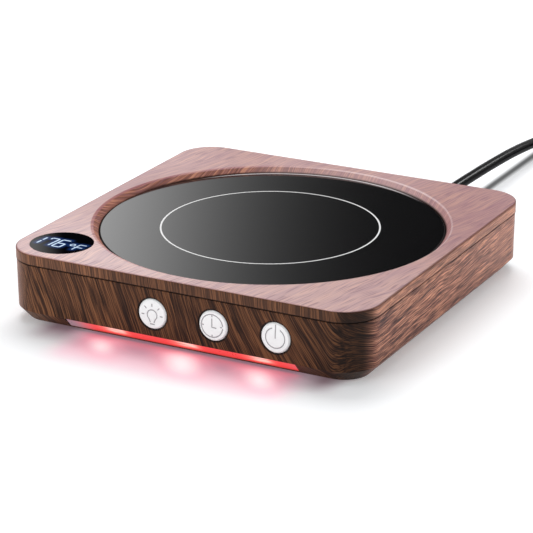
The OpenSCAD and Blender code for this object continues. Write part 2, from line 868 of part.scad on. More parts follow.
module capacitors() color("midnightblue")
    for (i = [0, 1]) translate([can_x, front_row + can_r + i * (2 * can_r + can_gap), parts_z + can_r])
        rotate([0, 90, 0]) rod(can_r, 0, can_l, $fn = 64);

module relay() color("steelblue")
    translate([relay_x, back_row - relay_size[1], parts_z]) board(relay_size, relay_corner);

module mains_fuse() color("beige")
    translate([mains_fuse_x, front_row, parts_z + mains_fuse_size[0]]) facing_back() {
        rod(mains_fuse_size[0] - fuse_cap[0], 0, mains_fuse_size[1], $fn = 48);
        for (y = [0, mains_fuse_size[1] - fuse_cap[1]])
            rod(mains_fuse_size[0], y, y + fuse_cap[1], $fn = 48);
    }

module terminal_block() color("green") difference() {
    block(terminal_x, back_row, parts_z, terminal_size);
    for (i = [0, 1])
        block(terminal_x + terminal_size[0] * (0.25 + 0.5 * i) - terminal_port[0] / 2,
            back_row - terminal_size[1] + terminal_port[1],
            parts_z + terminal_size[2] / 2 - terminal_port[0] / 2,
            [terminal_port[0], terminal_port[1] + over, terminal_port[0]]);
}

module buzzer() color("black")
    translate([buzzer_x, front_row + buzzer_size[0], parts_z]) difference() {
        rod(buzzer_size[0], 0, buzzer_size[1], $fn = 64);
        rod(buzzer_port[0], buzzer_size[1] - buzzer_port[1], buzzer_size[1] + over, $fn = 24);
    }

// ---- Mains lead ----

// Ribs and grooves that taper from root to tip, as outline points [r, along]
function rib_outline(from, to) = [
    for (i = [0:relief_ribs - 1])
        let (step = (to - from) / relief_ribs, a = from + i * step, b = a + step * relief_rib_share,
             r = relief_root_r + (relief_tip_r - relief_root_r) * i / (relief_ribs - 1))
        each [[r, a], [r, b], [r - relief_groove, b], [r - relief_groove, a + step]]
];

module cord_relief() color("black") translate([cord_x, half_w, cord_z]) facing_back()
    rotate_extrude($fn = 48) polygon(concat(
        [[0, -relief_in - relief_latch_t], [relief_neck_r, -relief_in - relief_latch_t],
         [relief_latch_r, -relief_in], [relief_neck_r, -relief_in], [relief_neck_r, 0],
         [relief_collar_r, 0], [relief_collar_r, relief_collar_t]],
        rib_outline(relief_collar_t, relief_l - relief_end[1]),
        [[relief_end[0], relief_l - relief_end[1]], [relief_end[0], relief_l], [0, relief_l]]
    ));

module inner_cord() color("black") {
    end_y = clamp_y - clamp_size[1] / 2 - inner_cord_end;
    translate([cord_x, end_y, cord_z]) facing_back() rod(cord_r, 0, inner_cord_y - end_y, $fn = 48);
}

module cord_clamp() color("whitesmoke") difference() {
    translate([cord_x - clamp_size[0] / 2, clamp_y - clamp_size[1] / 2, cord_z + clamp_pinch])
        cube(clamp_size);
    clamp_groove();
    for (side = [-1, 1]) translate([cord_x + side * clamp_screw_at, clamp_y, 0])
        rod(clamp_screw_r + screw_fit, cord_z, cord_z + 2 * clamp_size[2], $fn = 48);
}

module clamp_screws() color("silver")
    for (side = [-1, 1])
        translate([cord_x + side * clamp_screw_at, clamp_y, cord_z + clamp_pinch + clamp_size[2]])
            rotate([180, 0, 0]) pan_screw(clamp_screw_r, clamp_screw_l, clamp_screw_head, $fn = 48);

// The children moved from the lead's exit to their place
module from_exit() {
    translate([cord_x, half_w, 0]) children();
}

module power_cord() color("black") from_exit() swept_tube(cord_route, cord_r);

module cord_tail() color("black") from_exit() swept_tube(tail_route, cord_r);

module cord_coil() color("black") from_exit() translate([coil_at[0], coil_at[1], tie_t])
    rotate_extrude() polygon([
        [coil_wall[0] + coil_edge, 0], [coil_wall[1] - coil_edge, 0], [coil_wall[1], coil_edge],
        [coil_wall[1], coil_h - coil_edge], [coil_wall[1] - coil_edge, coil_h],
        [coil_wall[0] + coil_edge, coil_h], [coil_wall[0], coil_h - coil_edge],
        [coil_wall[0], coil_edge]
    ]);

module cord_tie() color("dimgray") from_exit() translate([coil_at[0], coil_at[1], 0])
    rotate([0, 0, tie_turn]) rotate_extrude(angle = tie_span) difference() {
        inner = [coil_wall[1] - coil_wall[0] + 2 * tie_fit, coil_h + tie_fit];
        translate([coil_wall[0] - tie_fit - tie_t, 0]) square([inner[0] + 2 * tie_t, inner[1] + 2 * tie_t]);
        translate([coil_wall[0] - tie_fit, tie_t]) square(inner);
    }

// One rounded corner of the plug between two depths
module plug_corner(x, z, from, to) {
    translate([x, -plug_neck_l - from, z]) rotate([90, 0, 0])
        cylinder(r = plug_round, h = to - from, $fn = 32);
}

module plug_body() color("black") from_exit()
    translate([plug_at[0], plug_at[1], plug_size[2] / 2]) {
        corner_x = plug_size[0] / 2 - plug_round;
        corner_z = plug_size[2] / 2 - plug_round;
        rotate([90, 0, 0]) rotate_extrude($fn = 48) polygon([
            [0, 0], [plug_neck_r[0], 0], [plug_neck_r[1], plug_neck_l], [0, plug_neck_l]
        ]);
        hull() for (sx = [-1, 1]) for (sz = [-1, 1]) {
            plug_corner(sx * corner_x * plug_taper[0], sz * corner_z * plug_taper[1], 0, plug_lip);
            plug_corner(sx * corner_x, sz * corner_z, plug_size[1] * plug_shoulder, plug_size[1]);
        }
    }

module plug_blades() color("silver") from_exit()
    for (side = [-1, 1])
        translate([plug_at[0] + side * blade_gap / 2, plug_at[1] - plug_neck_l - plug_size[1],
                   plug_size[2] / 2])
            difference() {
                translate([-blade_size[0] / 2, -blade_size[1], -blade_size[2] / 2]) cube(blade_size);
                translate([-over, -blade_size[1] + blade_hole[1], 0]) rotate([0, 90, 0])
                    cylinder(r = blade_hole[0], h = blade_size[0] + 2 * over, $fn = 48);
            }

top_cover();
lower_shell();
glass_plate();
glass_seal();
heat_spreader();
heating_element();
insulation_pad();
heater_bracket();
bracket_screws();
thermistor();
thermal_fuse();
fuse_clip();
display_lens();
display_digits();
display_board();
display_screws();
button_light();
button_timer();
button_power();
plunger_light();
plunger_timer();
plunger_power();
button_board();
switch_bodies();
board_screws();
light_diffuser();
light_board();
light_lamps();
main_board();
transformer();
capacitors();
relay();
mains_fuse();
terminal_block();
buzzer();
main_board_screws();
case_screws();
rubber_feet();
cord_relief();
inner_cord();
cord_clamp();
clamp_screws();
power_cord();
cord_coil();
cord_tail();
cord_tie();
plug_body();
plug_blades();
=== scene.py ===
"""Electric mug warmer: finishes, printed signs, mains lead, studio light and camera."""
import json
import math

import bmesh
import bpy
from mathutils import Matrix, Vector


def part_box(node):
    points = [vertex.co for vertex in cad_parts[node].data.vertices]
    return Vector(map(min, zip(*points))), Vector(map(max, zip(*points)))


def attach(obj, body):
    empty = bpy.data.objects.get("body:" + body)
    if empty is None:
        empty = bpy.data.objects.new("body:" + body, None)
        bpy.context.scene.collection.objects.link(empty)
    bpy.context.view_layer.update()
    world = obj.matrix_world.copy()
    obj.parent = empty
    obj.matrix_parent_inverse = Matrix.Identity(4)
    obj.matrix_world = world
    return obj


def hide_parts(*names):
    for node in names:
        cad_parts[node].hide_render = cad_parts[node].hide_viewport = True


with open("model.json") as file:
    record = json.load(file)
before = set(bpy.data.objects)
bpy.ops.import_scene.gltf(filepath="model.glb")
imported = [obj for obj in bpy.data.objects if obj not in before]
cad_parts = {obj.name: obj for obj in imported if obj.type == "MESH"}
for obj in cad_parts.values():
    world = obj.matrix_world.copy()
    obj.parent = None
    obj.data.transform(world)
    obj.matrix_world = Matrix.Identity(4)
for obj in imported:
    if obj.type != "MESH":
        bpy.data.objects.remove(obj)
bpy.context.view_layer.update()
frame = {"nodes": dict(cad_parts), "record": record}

MM = 0.001
NODES = frame["nodes"]
BLACK = (0, 0, 0, 1)
WHITE = (1, 1, 1, 1)

# ---- Sizes taken from the frame, in millimetres ----

def box_mm(node):
    low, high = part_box(node)
    return Vector(low) / MM, Vector(high) / MM


def middle_mm(node):
    low, high = box_mm(node)
    return (low + high) / 2


TOP = box_mm("top_cover")[1].z
HALF = box_mm("top_cover")[1].x
SEAM = box_mm("lower_shell")[1].z
CORNER_R = 13.0
CORNER_C = HALF - CORNER_R      # how far out the corners' centres lie, along x and along y

# ---- Camera ----

IMAGE_SIZE = 533
FOCAL_PIXELS = 2414.64
SENSOR = 36.0
AZIMUTH = math.radians(27.903)
ELEVATION = math.radians(20.25)
ROLL = math.radians(-0.149)
TARGET = Vector((-12.403, 18.889, 1.0)) * MM
DISTANCE = 899.465 * MM


def make_camera():
    back = Vector((math.sin(AZIMUTH) * math.cos(ELEVATION),
                   -math.cos(AZIMUTH) * math.cos(ELEVATION), math.sin(ELEVATION)))
    right = Vector((math.cos(AZIMUTH), math.sin(AZIMUTH), 0))
    up = back.cross(right)
    turned_right = right * math.cos(ROLL) + up * math.sin(ROLL)
    turned_up = up * math.cos(ROLL) - right * math.sin(ROLL)
    data = bpy.data.cameras.new("camera")
    data.sensor_width = SENSOR
    data.lens = FOCAL_PIXELS * SENSOR / IMAGE_SIZE
    data.clip_start = 0.05
    data.clip_end = 50
    camera = bpy.data.objects.new("camera", data)
    turn = Matrix((turned_right, turned_up, back)).transposed()
    camera.matrix_world = Matrix.Translation(TARGET + back * DISTANCE) @ turn.to_4x4()
    bpy.context.collection.objects.link(camera)
    bpy.context.scene.camera = camera


make_camera()

# ---- Mains lead ----

# Where the lead leaves the case. The points of its routes and its coil are counted from here,
# with their heights from the table.
CORD_EXIT = Vector((24.5, 70, 0))
CORD_D = 4.2
CORD_ROUTE = [
    (0, 24, 11.5), (0, 30, 11.5), (0, 38, 11.4), (0, 48, 11.2), (0, 58, 10.9),
    (0, 68, 10.6), (0, 80, 10.1), (0, 92, 9.5), (0, 104, 8.6), (0, 116, 7.4),
    (0, 128, 5.9), (0, 138, 4.7), (0, 147, 3.7), (0, 156, 2.9), (0, 165, 2.7),
]
TAIL_ROUTE = [
    (64.9, 165, 6.9), (64.9, 158, 6.9), (65, 151, 6.8), (65.4, 144, 6.7), (65.8, 137, 6.6),
    (66, 130, 6.5), (66, 125, 6.5),
]
COIL_AT = Vector((33.5, 165, 0))
COIL_OUT_R = 33.5
COIL_TURNS_IN = 4.0
COIL_TURNS_OUT = 3.5
COIL_LEVELS = (2.7, 6.9)        # heights of the turns inwards and of those outwards
COIL_CLIMB = 0.3                # turns before and after the innermost point in which it climbs
COIL_STEPS = 24                 # points for each turn


def ease(share):
    share = min(max(share, 0.0), 1.0)
    return share * share * (3 - 2 * share)


def coil_points():
    """Flat turns inwards on the table, then outwards on top of them."""
    inner_r = COIL_OUT_R - COIL_TURNS_IN * CORD_D
    steps = round((COIL_TURNS_IN + COIL_TURNS_OUT) * COIL_STEPS)
    points = []
    for step in range(1, steps):
        turns = step / COIL_STEPS
        from_inner = turns - COIL_TURNS_IN
        radius = inner_r + abs(from_inner) * CORD_D
        angle = math.pi - 2 * math.pi * turns
        climb = ease((from_inner + COIL_CLIMB) / (2 * COIL_CLIMB))
        height = COIL_LEVELS[0] + (COIL_LEVELS[1] - COIL_LEVELS[0]) * climb
        spot = Vector((radius * math.cos(angle), radius * math.sin(angle), height))
        points.append(COIL_AT + spot)
    return points


def cord_points():
    points = [Vector(p) for p in CORD_ROUTE] + coil_points() + [Vector(p) for p in TAIL_ROUTE]
    return [(CORD_EXIT + p) * MM for p in points]


def make_cord():
    points = cord_points()
    data = bpy.data.curves.new("mains_lead", "CURVE")
    data.dimensions = "3D"
    data.bevel_depth = 1.0
    data.bevel_resolution = 5
    data.resolution_u = 4
    data.use_fill_caps = True
    spline = data.splines.new("NURBS")
    spline.points.add(len(points) - 1)
    for spot, place in zip(spline.points, points):
        spot.co = (*place, 1)
        spot.radius = CORD_D / 2 * MM
    spline.order_u = 3
    spline.use_endpoint_u = True
    cord = bpy.data.objects.new("mains_lead", data)
    bpy.context.collection.objects.link(cord)
    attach(cord, "case")
    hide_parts("power_cord", "cord_coil", "cord_tail")
    return cord


cord = make_cord()

# ---- Shader helpers ----

def join(tree, socket, value):
    if isinstance(value, bpy.types.NodeSocket):
        tree.links.new(value, socket)
    else:
        socket.default_value = value


def put(tree, kind, values=None, **settings):
    """A node with its settings, and its inputs set or linked by name or number."""
    node = tree.nodes.new(kind)
    for name, value in settings.items():
        setattr(node, name, value)
    for name, value in (values or {}).items():
        join(tree, node.inputs[name], value)
    return node


def calc(tree, operation, *values, clamp=False):
    values = dict(enumerate(values))
    return put(tree, "ShaderNodeMath", values, operation=operation, use_clamp=clamp).outputs[0]


def chain(tree, operation, *values):
    """One operation carried through all the values, from the first to the last."""
    result = values[0]
    for value in values[1:]:
        result = calc(tree, operation, result, value)
    return result


def product(tree, *values):
    return chain(tree, "MULTIPLY", *values)


def highest(tree, *values):
    return chain(tree, "MAXIMUM", *values)


def lowest(tree, *values):
    return chain(tree, "MINIMUM", *values)


def minus(tree, value, taken):
    return calc(tree, "SUBTRACT", value, taken)


def inverse(tree, mask):
    """1 where a mask is 0, and 0 where it is 1."""
    return minus(tree, 1.0, mask)


def apart(tree, value, place):
    """How far a value lies from a place, on either side."""
    return calc(tree, "ABSOLUTE", minus(tree, value, place))


def vector(tree, operation, *values):
    node = put(tree, "ShaderNodeVectorMath", dict(enumerate(values)), operation=operation)
    number = operation in ("LENGTH", "DOT_PRODUCT", "DISTANCE")
    return node.outputs["Value" if number else "Vector"]


def scaled(tree, value, factor):
    values = {0: value, "Scale": factor}
    return put(tree, "ShaderNodeVectorMath", values, operation="SCALE").outputs[0]


def combine(tree, x, y, z=0.0):
    return put(tree, "ShaderNodeCombineXYZ", {0: x, 1: y, 2: z}).outputs[0]


def split(tree, value):
    return put(tree, "ShaderNodeSeparateXYZ", {0: value}).outputs


def fade(tree, value, start, end):
    """0 before start, 1 after end, smooth between."""
    node = put(tree, "ShaderNodeMapRange", {"Value": value, "From Min": start, "From Max": end},
               interpolation_type="SMOOTHSTEP")
    return node.outputs[0]


def blend(tree, factor, a, b, way="MIX"):
    node = put(tree, "ShaderNodeMix", {0: factor, 6: a, 7: b}, data_type="RGBA", blend_type=way)
    return node.outputs[2]


def between(tree, factor, a, b):
    return put(tree, "ShaderNodeMix", {0: factor, 2: a, 3: b}, data_type="FLOAT").outputs[0]


def noise(tree, place, scale, detail, roughness=0.5):
    node = put(tree, "ShaderNodeTexNoise",
               {"Vector": place, "Scale": scale, "Detail": detail, "Roughness": roughness})
    return node.outputs[0]


def ramp(tree, factor, stops):
    node = put(tree, "ShaderNodeValToRGB", {0: factor})
    points = node.color_ramp.elements
    for i, (place, colour) in enumerate(stops):
        point = points[i] if i < 2 else points.new(place)
        point.position = place
        point.color = (*colour, 1)
    return node.outputs[0]


def place_mm(tree):
    """The point on the object, in millimetres."""
    spot = put(tree, "ShaderNodeTexCoord").outputs["Object"]
    return scaled(tree, spot, 1 / MM)


def shade(value):
    """Linear light from an 8-bit colour value."""
    part = value / 255
    return part / 12.92 if part <= 0.04045 else ((part + 0.055) / 1.055) ** 2.4


def tone(red, green, blue):
    return (shade(red), shade(green), shade(blue))


def rgba(red, green, blue):
    return (*tone(red, green, blue), 1)


def new_group(name, inputs, outputs):
    tree = bpy.data.node_groups.new(name, "ShaderNodeTree")
    for way, sockets in (("INPUT", inputs), ("OUTPUT", outputs)):
        for title, kind in sockets.items():
            tree.interface.new_socket(name=title, in_out=way, socket_type="NodeSocket" + kind)
    given = tree.nodes.new("NodeGroupInput").outputs
    return tree, given, tree.nodes.new("NodeGroupOutput").inputs


def use(tree, group, **values):
    """The outputs of a group's node, with its inputs set or linked by their names in lower case."""
    node = tree.nodes.new("ShaderNodeGroup")
    node.node_tree = group
    for name, value in values.items():
        join(tree, node.inputs[name.capitalize()], value)
    return node.outputs


def new_material(name):
    material = bpy.data.materials.new(name)
    material.use_nodes = True
    tree = material.node_tree
    return material, tree, tree.nodes["Principled BSDF"]


def bump(tree, shader, height, depth_mm, strength, under=None):
    """Relief on a shader, laid over another relief where there is one under it."""
    values = {"Height": height, "Distance": depth_mm * MM, "Strength": strength}
    if under is not None:
        values["Normal"] = under
    join(tree, shader.inputs["Normal"], put(tree, "ShaderNodeBump", values).outputs[0])

# ---- Effects that several finishes share ----

DIM = 0.72      # how bright a finish is in its darker patches or lines, as a share


def stroke_group():
    """Distance from a point to a straight stroke."""
    tree, given, out = new_group(
        "stroke distance", {"Point": "Vector", "Start": "Vector", "End": "Vector"},
        {"Distance": "Float"})
    reach = vector(tree, "SUBTRACT", given["Point"], given["Start"])
    along = vector(tree, "SUBTRACT", given["End"], given["Start"])
    share = calc(tree, "DIVIDE", vector(tree, "DOT_PRODUCT", reach, along),
                 vector(tree, "DOT_PRODUCT", along, along), clamp=True)
    nearest = scaled(tree, along, share)
    join(tree, out["Distance"], vector(tree, "LENGTH", vector(tree, "SUBTRACT", reach, nearest)))
    return tree


def moulded_group():
    """Colour drift, uneven roughness and a fine texture, for moulded surfaces."""
    tree, given, out = new_group(
        "moulded surface",
        {"Colour": "Color", "Drift": "Float", "Roughness": "Float", "Grain": "Float"},
        {"Colour": "Color", "Roughness": "Float", "Height": "Float"})
    spot = place_mm(tree)
    cloud = noise(tree, spot, 0.09, 3, 0.6)
    dark = blend(tree, 1.0, given["Colour"], (DIM, DIM, DIM, 1), "MULTIPLY")
    drift = product(tree, cloud, given["Drift"])
    join(tree, out["Colour"], blend(tree, drift, given["Colour"], dark))
    lift = product(tree, minus(tree, cloud, 0.5), 0.25)
    join(tree, out["Roughness"], calc(tree, "ADD", given["Roughness"], lift, clamp=True))
    join(tree, out["Height"], noise(tree, spot, given["Grain"], 2, 0.6))
    return tree


def brushed_group():
    """Fine lines along Y, for rolled and drawn metal."""
    tree, given, out = new_group("brushed lines", {"Place": "Vector", "Width": "Float"},
                                 {"Line": "Float"})
    x, y, z = split(tree, given["Place"])[:3]
    across = calc(tree, "DIVIDE", x, given["Width"])
    along = product(tree, y, 0.08)
    join(tree, out["Line"], noise(tree, combine(tree, across, along, z), 1.0, 3, 0.6))
    return tree


def grain_group():
    """Walnut figure from how far a point lies across and along the grain, in millimetres."""
    tree, given, out = new_group(
        "walnut grain", {"Across": "Float", "Along": "Float"},
        {"Tone": "Float", "Streak": "Float", "Height": "Float"})

    def layer(width, length, detail, offset):
        """Streaks of one size. The offset makes each layer unlike the others."""
        across = calc(tree, "DIVIDE", given["Across"], width)
        along = calc(tree, "DIVIDE", given["Along"], length)
        return noise(tree, combine(tree, across, along, offset), 1.0, detail, 0.55)

    broad = layer(4.0, 90.0, 1, 3.0)
    middle = layer(0.95, 36.0, 1, 11.0)
    narrow = layer(0.4, 20.0, 1, 23.0)
    fibre = layer(0.2, 9.0, 0, 31.0)
    mixed = product(tree, middle, 0.25)
    for streaks, share in ((broad, 0.18), (narrow, 0.40), (fibre, 0.22)):
        mixed = calc(tree, "MULTIPLY_ADD", streaks, share, mixed)
    join(tree, out["Tone"], fade(tree, mixed, 0.385, 0.665))
    pore = layer(0.45, 9.0, 0, 47.0)
    gather = layer(4.0, 30.0, 1, 59.0)
    pores = fade(tree, calc(tree, "MULTIPLY_ADD", gather, 0.30, pore), 0.72, 0.84)
    join(tree, out["Streak"], pores)
    join(tree, out["Height"], calc(tree, "MULTIPLY_ADD", pores, -0.6, fibre))
    return tree


STROKE = stroke_group()
MOULDED = moulded_group()
BRUSHED = brushed_group()
GRAIN = grain_group()

# ---- Walnut film on the case ----

LID_H = TOP - SEAM              # how far down the lid's walls reach
RIM_R = HALF - 5.4              # radius of the recess's rim
HOLE_R = 5.72                   # radius of the buttons' holes
WALL_REACH = (8.4, 8.8)         # where the top gives way to the walls: how far out,
WALL_DEPTH = (0.05, 0.35)       # and how deep
TOP_TILT = 0.21                 # how far the grain leans on the top, sideways for each mm back
SIDE_LEAN = 0.05                # the same on the side walls
FRONT_TILT = 0.34               # how far it leans on the front wall, sideways for each mm down
FRONT_TILT_MORE = 0.3           # what that gains towards the wall's right end
LID_TILT = 0.10                 # the same on the lid's part of the wall
SIDE_TILT = 1.3                 # the same on the side walls, where the grain lies level
WALL_FINENESS = 1.35            # how much finer the figure is on the walls than on the top
SIDE_SHORTNESS = 1.7            # how much shorter the streaks are on the side walls
WAVE_MM = (10.0, 4.5)           # how far a slow wave sways the grain, on the top and on the walls
RIPPLE_MM = (0.5, 1.0)          # how far a quick one does, off and on the side walls
FILM_ROUGHNESS = (0.40, 0.80)   # where the film shines, and where it is dull
TOP_COAT = 0.85                 # weight of the clear coat on the top

# The figure's colours, from its dark lines to its light ones, in lit and shaded copies: paled by
# painted sheen on the top, darkened by painted shade on the front wall and lightened by painted light
# on the right wall. The pores likewise.
TOP_FIGURE_SHEENED = [(0.1, tone(160, 117, 125)), (0.5, tone(180, 138, 137)), (0.9, tone(205, 160, 146))]
FRONT_FIGURE_SHADED = [(0.1, tone(42, 26, 19)), (0.45, tone(76, 47, 33)), (0.9, tone(136, 90, 60))]
SIDE_FIGURE_LIT = [(0.1, tone(48, 27, 27)), (0.5, tone(135, 84, 71)), (0.9, tone(224, 158, 126))]
TOP_PORES_SHEENED, FRONT_PORES_SHADED, SIDE_PORES_LIT = rgba(138, 100, 110), rgba(30, 19, 16), rgba(56, 38, 42)

# Tones laid over the figure, each with its mask and its share at the mask's fullest. On the top they
# are painted sheen, lighter towards the front, and painted shade towards the left and the right.
TOP_PAINTED_SHEEN_AND_SHADE = [
    ("top front", 0.3, rgba(222, 196, 194)),
    ("top right", 0.2, rgba(150, 98, 98)),
    ("top left", 0.66, rgba(142, 84, 84)),
]
# On the walls: painted light, lighter towards the right wall's back and at the front wall's left end.
# The lid's band is lighter on both walls.
WALL_TONES_AND_PAINTED_LIGHT = [
    ("flank back", 0.24, rgba(222, 168, 152)),
    ("flank lid", 0.16, rgba(226, 168, 140)),
    ("front lid", 0.08, rgba(226, 168, 140)),
    ("left end", 0.4, rgba(190, 140, 124)),
]
# Painted shade, multiplied in: the front wall darker in its middle and towards its right end, the
# right wall darker towards its front, and the rounded corner darker, its lid band more still.
SHADE_MULTIPLIER = (0.02, 0.01, 0.0, 1)
FILM_PAINTED_SHADE = [
    ("front middle", 0.27), ("front end", 0.2), ("flank front", 0.12), ("bend", 0.5),
    ("lid bend", 0.36),
]
# Painted light and shade at the edges and in the recess: painted shade at the bevel's foot and toe by
# the glass and on its right side, painted light on the left bevel, painted sheen towards the back and
# a painted highlight along the recess's back rim. The right wall is darker towards its foot, and the
# top's right edge is darker. The holes and the seam are dark joints.
EDGE_TONES_AND_PAINTED_LIGHT = [
    ("flank foot", 0.4, rgba(66, 36, 30)),
    ("right edge", 0.55, rgba(70, 42, 34)),
    ("bevel foot", 0.6, rgba(80, 46, 36)),
    ("bevel right", 0.15, rgba(120, 76, 78)),
    ("bevel left", 0.4, rgba(152, 104, 92)),
    ("bevel toe", 0.85, rgba(40, 24, 20)),
    ("back", 0.17, rgba(228, 198, 196)),
    ("rim", 0.4, rgba(240, 222, 220)),
    ("hole", 0.8, rgba(20, 12, 10)),
    ("seam", 0.85, rgba(20, 12, 10)),
]
DULL_MASKS = ("bevel left", "bevel right", "edge", "rim left")


def film_spots(tree):
    """Where a point lies on the case.

    The depth is counted down from the top, and the reach outwards from the lines through the
    corners' centres. Sideways and forwards say how much of the reach lies along x and along y.
    """
    spot = place_mm(tree)
    x, y, z = split(tree, spot)[:3]
    depth = minus(tree, TOP, z)
    past_x = highest(tree, minus(tree, calc(tree, "ABSOLUTE", x), CORNER_C), 0.0)
    past_y = highest(tree, minus(tree, calc(tree, "ABSOLUTE", y), CORNER_C), 0.0)
    reach = highest(tree, vector(tree, "LENGTH", combine(tree, past_x, past_y)), 0.01)
    wall = product(tree, fade(tree, reach, *WALL_REACH), fade(tree, depth, *WALL_DEPTH))
    return {
        "spot": spot, "x": x, "y": y, "z": z, "depth": depth, "reach": reach, "wall": wall,
        "sideways": calc(tree, "DIVIDE", past_x, reach),
        "forwards": calc(tree, "DIVIDE", past_y, reach),
    }


def film_place(tree, at):
    """How far a point lies across and along the grain, as the film wraps the case."""
    x, y, depth, wall = at["x"], at["y"], at["depth"], at["wall"]
    side = product(tree, fade(tree, at["sideways"], 0.0, 1.0), wall)
    tilt = calc(tree, "MULTIPLY_ADD", fade(tree, x, 5.0, 60.0), FRONT_TILT_MORE, FRONT_TILT)
    tilt = between(tree, fade(tree, depth, LID_H - 0.1, LID_H + 0.1), LID_TILT, tilt)
    tilt = between(tree, side, tilt, SIDE_TILT)
    lean = product(tree, calc(tree, "ADD", y, HALF), between(tree, side, TOP_TILT, SIDE_LEAN))
    wave = noise(tree, at["spot"], 0.03, 1)
    stretched = combine(tree, product(tree, x, 0.5), y, product(tree, at["z"], 2))
    ripple = noise(tree, stretched, 0.15, 1)
    across = minus(tree, minus(tree, x, lean), product(tree, depth, tilt))
    across = calc(tree, "MULTIPLY_ADD", wave, between(tree, wall, *WAVE_MM), across)
    across = calc(tree, "MULTIPLY_ADD", ripple, between(tree, side, *RIPPLE_MM), across)
    across = product(tree, across, between(tree, wall, 1.0, WALL_FINENESS))
    back = product(tree, y, between(tree, side, 1.0, SIDE_SHORTNESS))
    down = product(tree, depth, inverse(tree, side))
    return across, calc(tree, "ADD", back, down)


def from_buttons(tree, at):
    """How far a point of the front wall lies from the nearest button's axis."""
    flat = combine(tree, at["x"], at["z"])
    middles = [middle_mm(node) for node in BUTTON_SIGNS]
    return lowest(tree, *[vector(tree, "DISTANCE", flat, (m.x, m.z, 0)) for m in middles])


def film_masks(tree, at):
    """Where the film's tones and its painted light and shade lie, each from 0 to 1. Spans of x, y and
    depth are in millimetres.
    """
    wall = at["wall"]

    def by_x(start, end):
        return fade(tree, at["x"], start, end)

    def by_y(start, end):
        return fade(tree, at["y"], start, end)

    def by_depth(start, end):
        return fade(tree, at["depth"], start, end)

    off_wall = inverse(tree, wall)
    flank = product(tree, fade(tree, at["sideways"], 0.80, 0.985), wall)
    front = minus(tree, wall, flank)
    round_corner = fade(tree, product(tree, at["sideways"], at["forwards"]), 0.1, 0.45)
    bend = product(tree, round_corner, by_x(-10.0, 10.0), wall)
    lid = by_depth(LID_H, LID_H - 0.2)
    from_axis = vector(tree, "LENGTH", combine(tree, at["x"], at["y"]))
    off_rim = apart(tree, from_axis, RIM_R)
    bevel = product(tree, fade(tree, from_axis, RIM_R + 0.1, RIM_R - 0.3), by_depth(0.15, 0.5))
    edge = product(tree, fade(tree, at["reach"], 12.3, 12.8), by_depth(0.9, 0.4))
    middle_y = fade(tree, calc(tree, "ABSOLUTE", at["y"]), 50.0, 12.0)
    on_hole = fade(tree, from_buttons(tree, at), HOLE_R + 0.5, HOLE_R + 0.2)
    on_seam = fade(tree, apart(tree, at["depth"], LID_H), 0.28, 0.16)
    return {
        "wall": wall,
        "flank": flank,
        "top front": product(tree, by_y(40.0, -62.0), by_x(-75.0, -10.0)),
        "top right": product(tree, by_x(15.0, 60.0), by_y(-25.0, 15.0)),
        "top left": product(tree, by_x(-38.0, -64.0), middle_y, off_wall),
        "back": product(tree, by_y(40.0, 56.0), off_wall, by_x(-44.0, -24.0), by_x(44.0, 20.0)),
        "flank back": product(tree, by_y(-20.0, 70.0), flank),
        "flank foot": product(tree, by_depth(14.0, 25.0), flank),
        "flank front": product(tree, by_y(0.0, -50.0), flank),
        "flank lid": product(tree, lid, flank),
        "front lid": product(tree, lid, front),
        "left end": product(tree, by_x(-60.0, -69.5), front),
        "front middle": product(tree, by_x(-50.0, -8.0), front),
        "front end": product(tree, by_x(30.0, 58.0), front),
        "bend": bend,
        "lid bend": product(tree, bend, lid),
        "edge": edge,
        "right edge": product(tree, edge, fade(tree, at["sideways"], 0.3, 0.9)),
        "bevel left": product(tree, bevel, by_x(0.0, -45.0)),
        "bevel right": product(tree, bevel, by_x(25.0, 60.0)),
        "bevel foot": product(tree, bevel, by_depth(1.0, 2.2),
                              between(tree, by_y(5.0, 45.0), 1.0, 0.2)),
        "bevel toe": product(tree, bevel, by_depth(1.5, 1.95), by_y(0.0, 30.0)),
        "rim": product(tree, fade(tree, off_rim, 0.55, 0.15), by_y(0.0, 45.0), by_x(58.0, 30.0),
                       by_x(-40.0, 0.0), off_wall),
        "rim left": product(tree, fade(tree, off_rim, 0.9, 0.5), by_x(10.0, -20.0)),
        "hole": product(tree, on_hole, by_y(-CORNER_C, -CORNER_C - 2)),
        "seam": product(tree, on_seam, wall),
    }


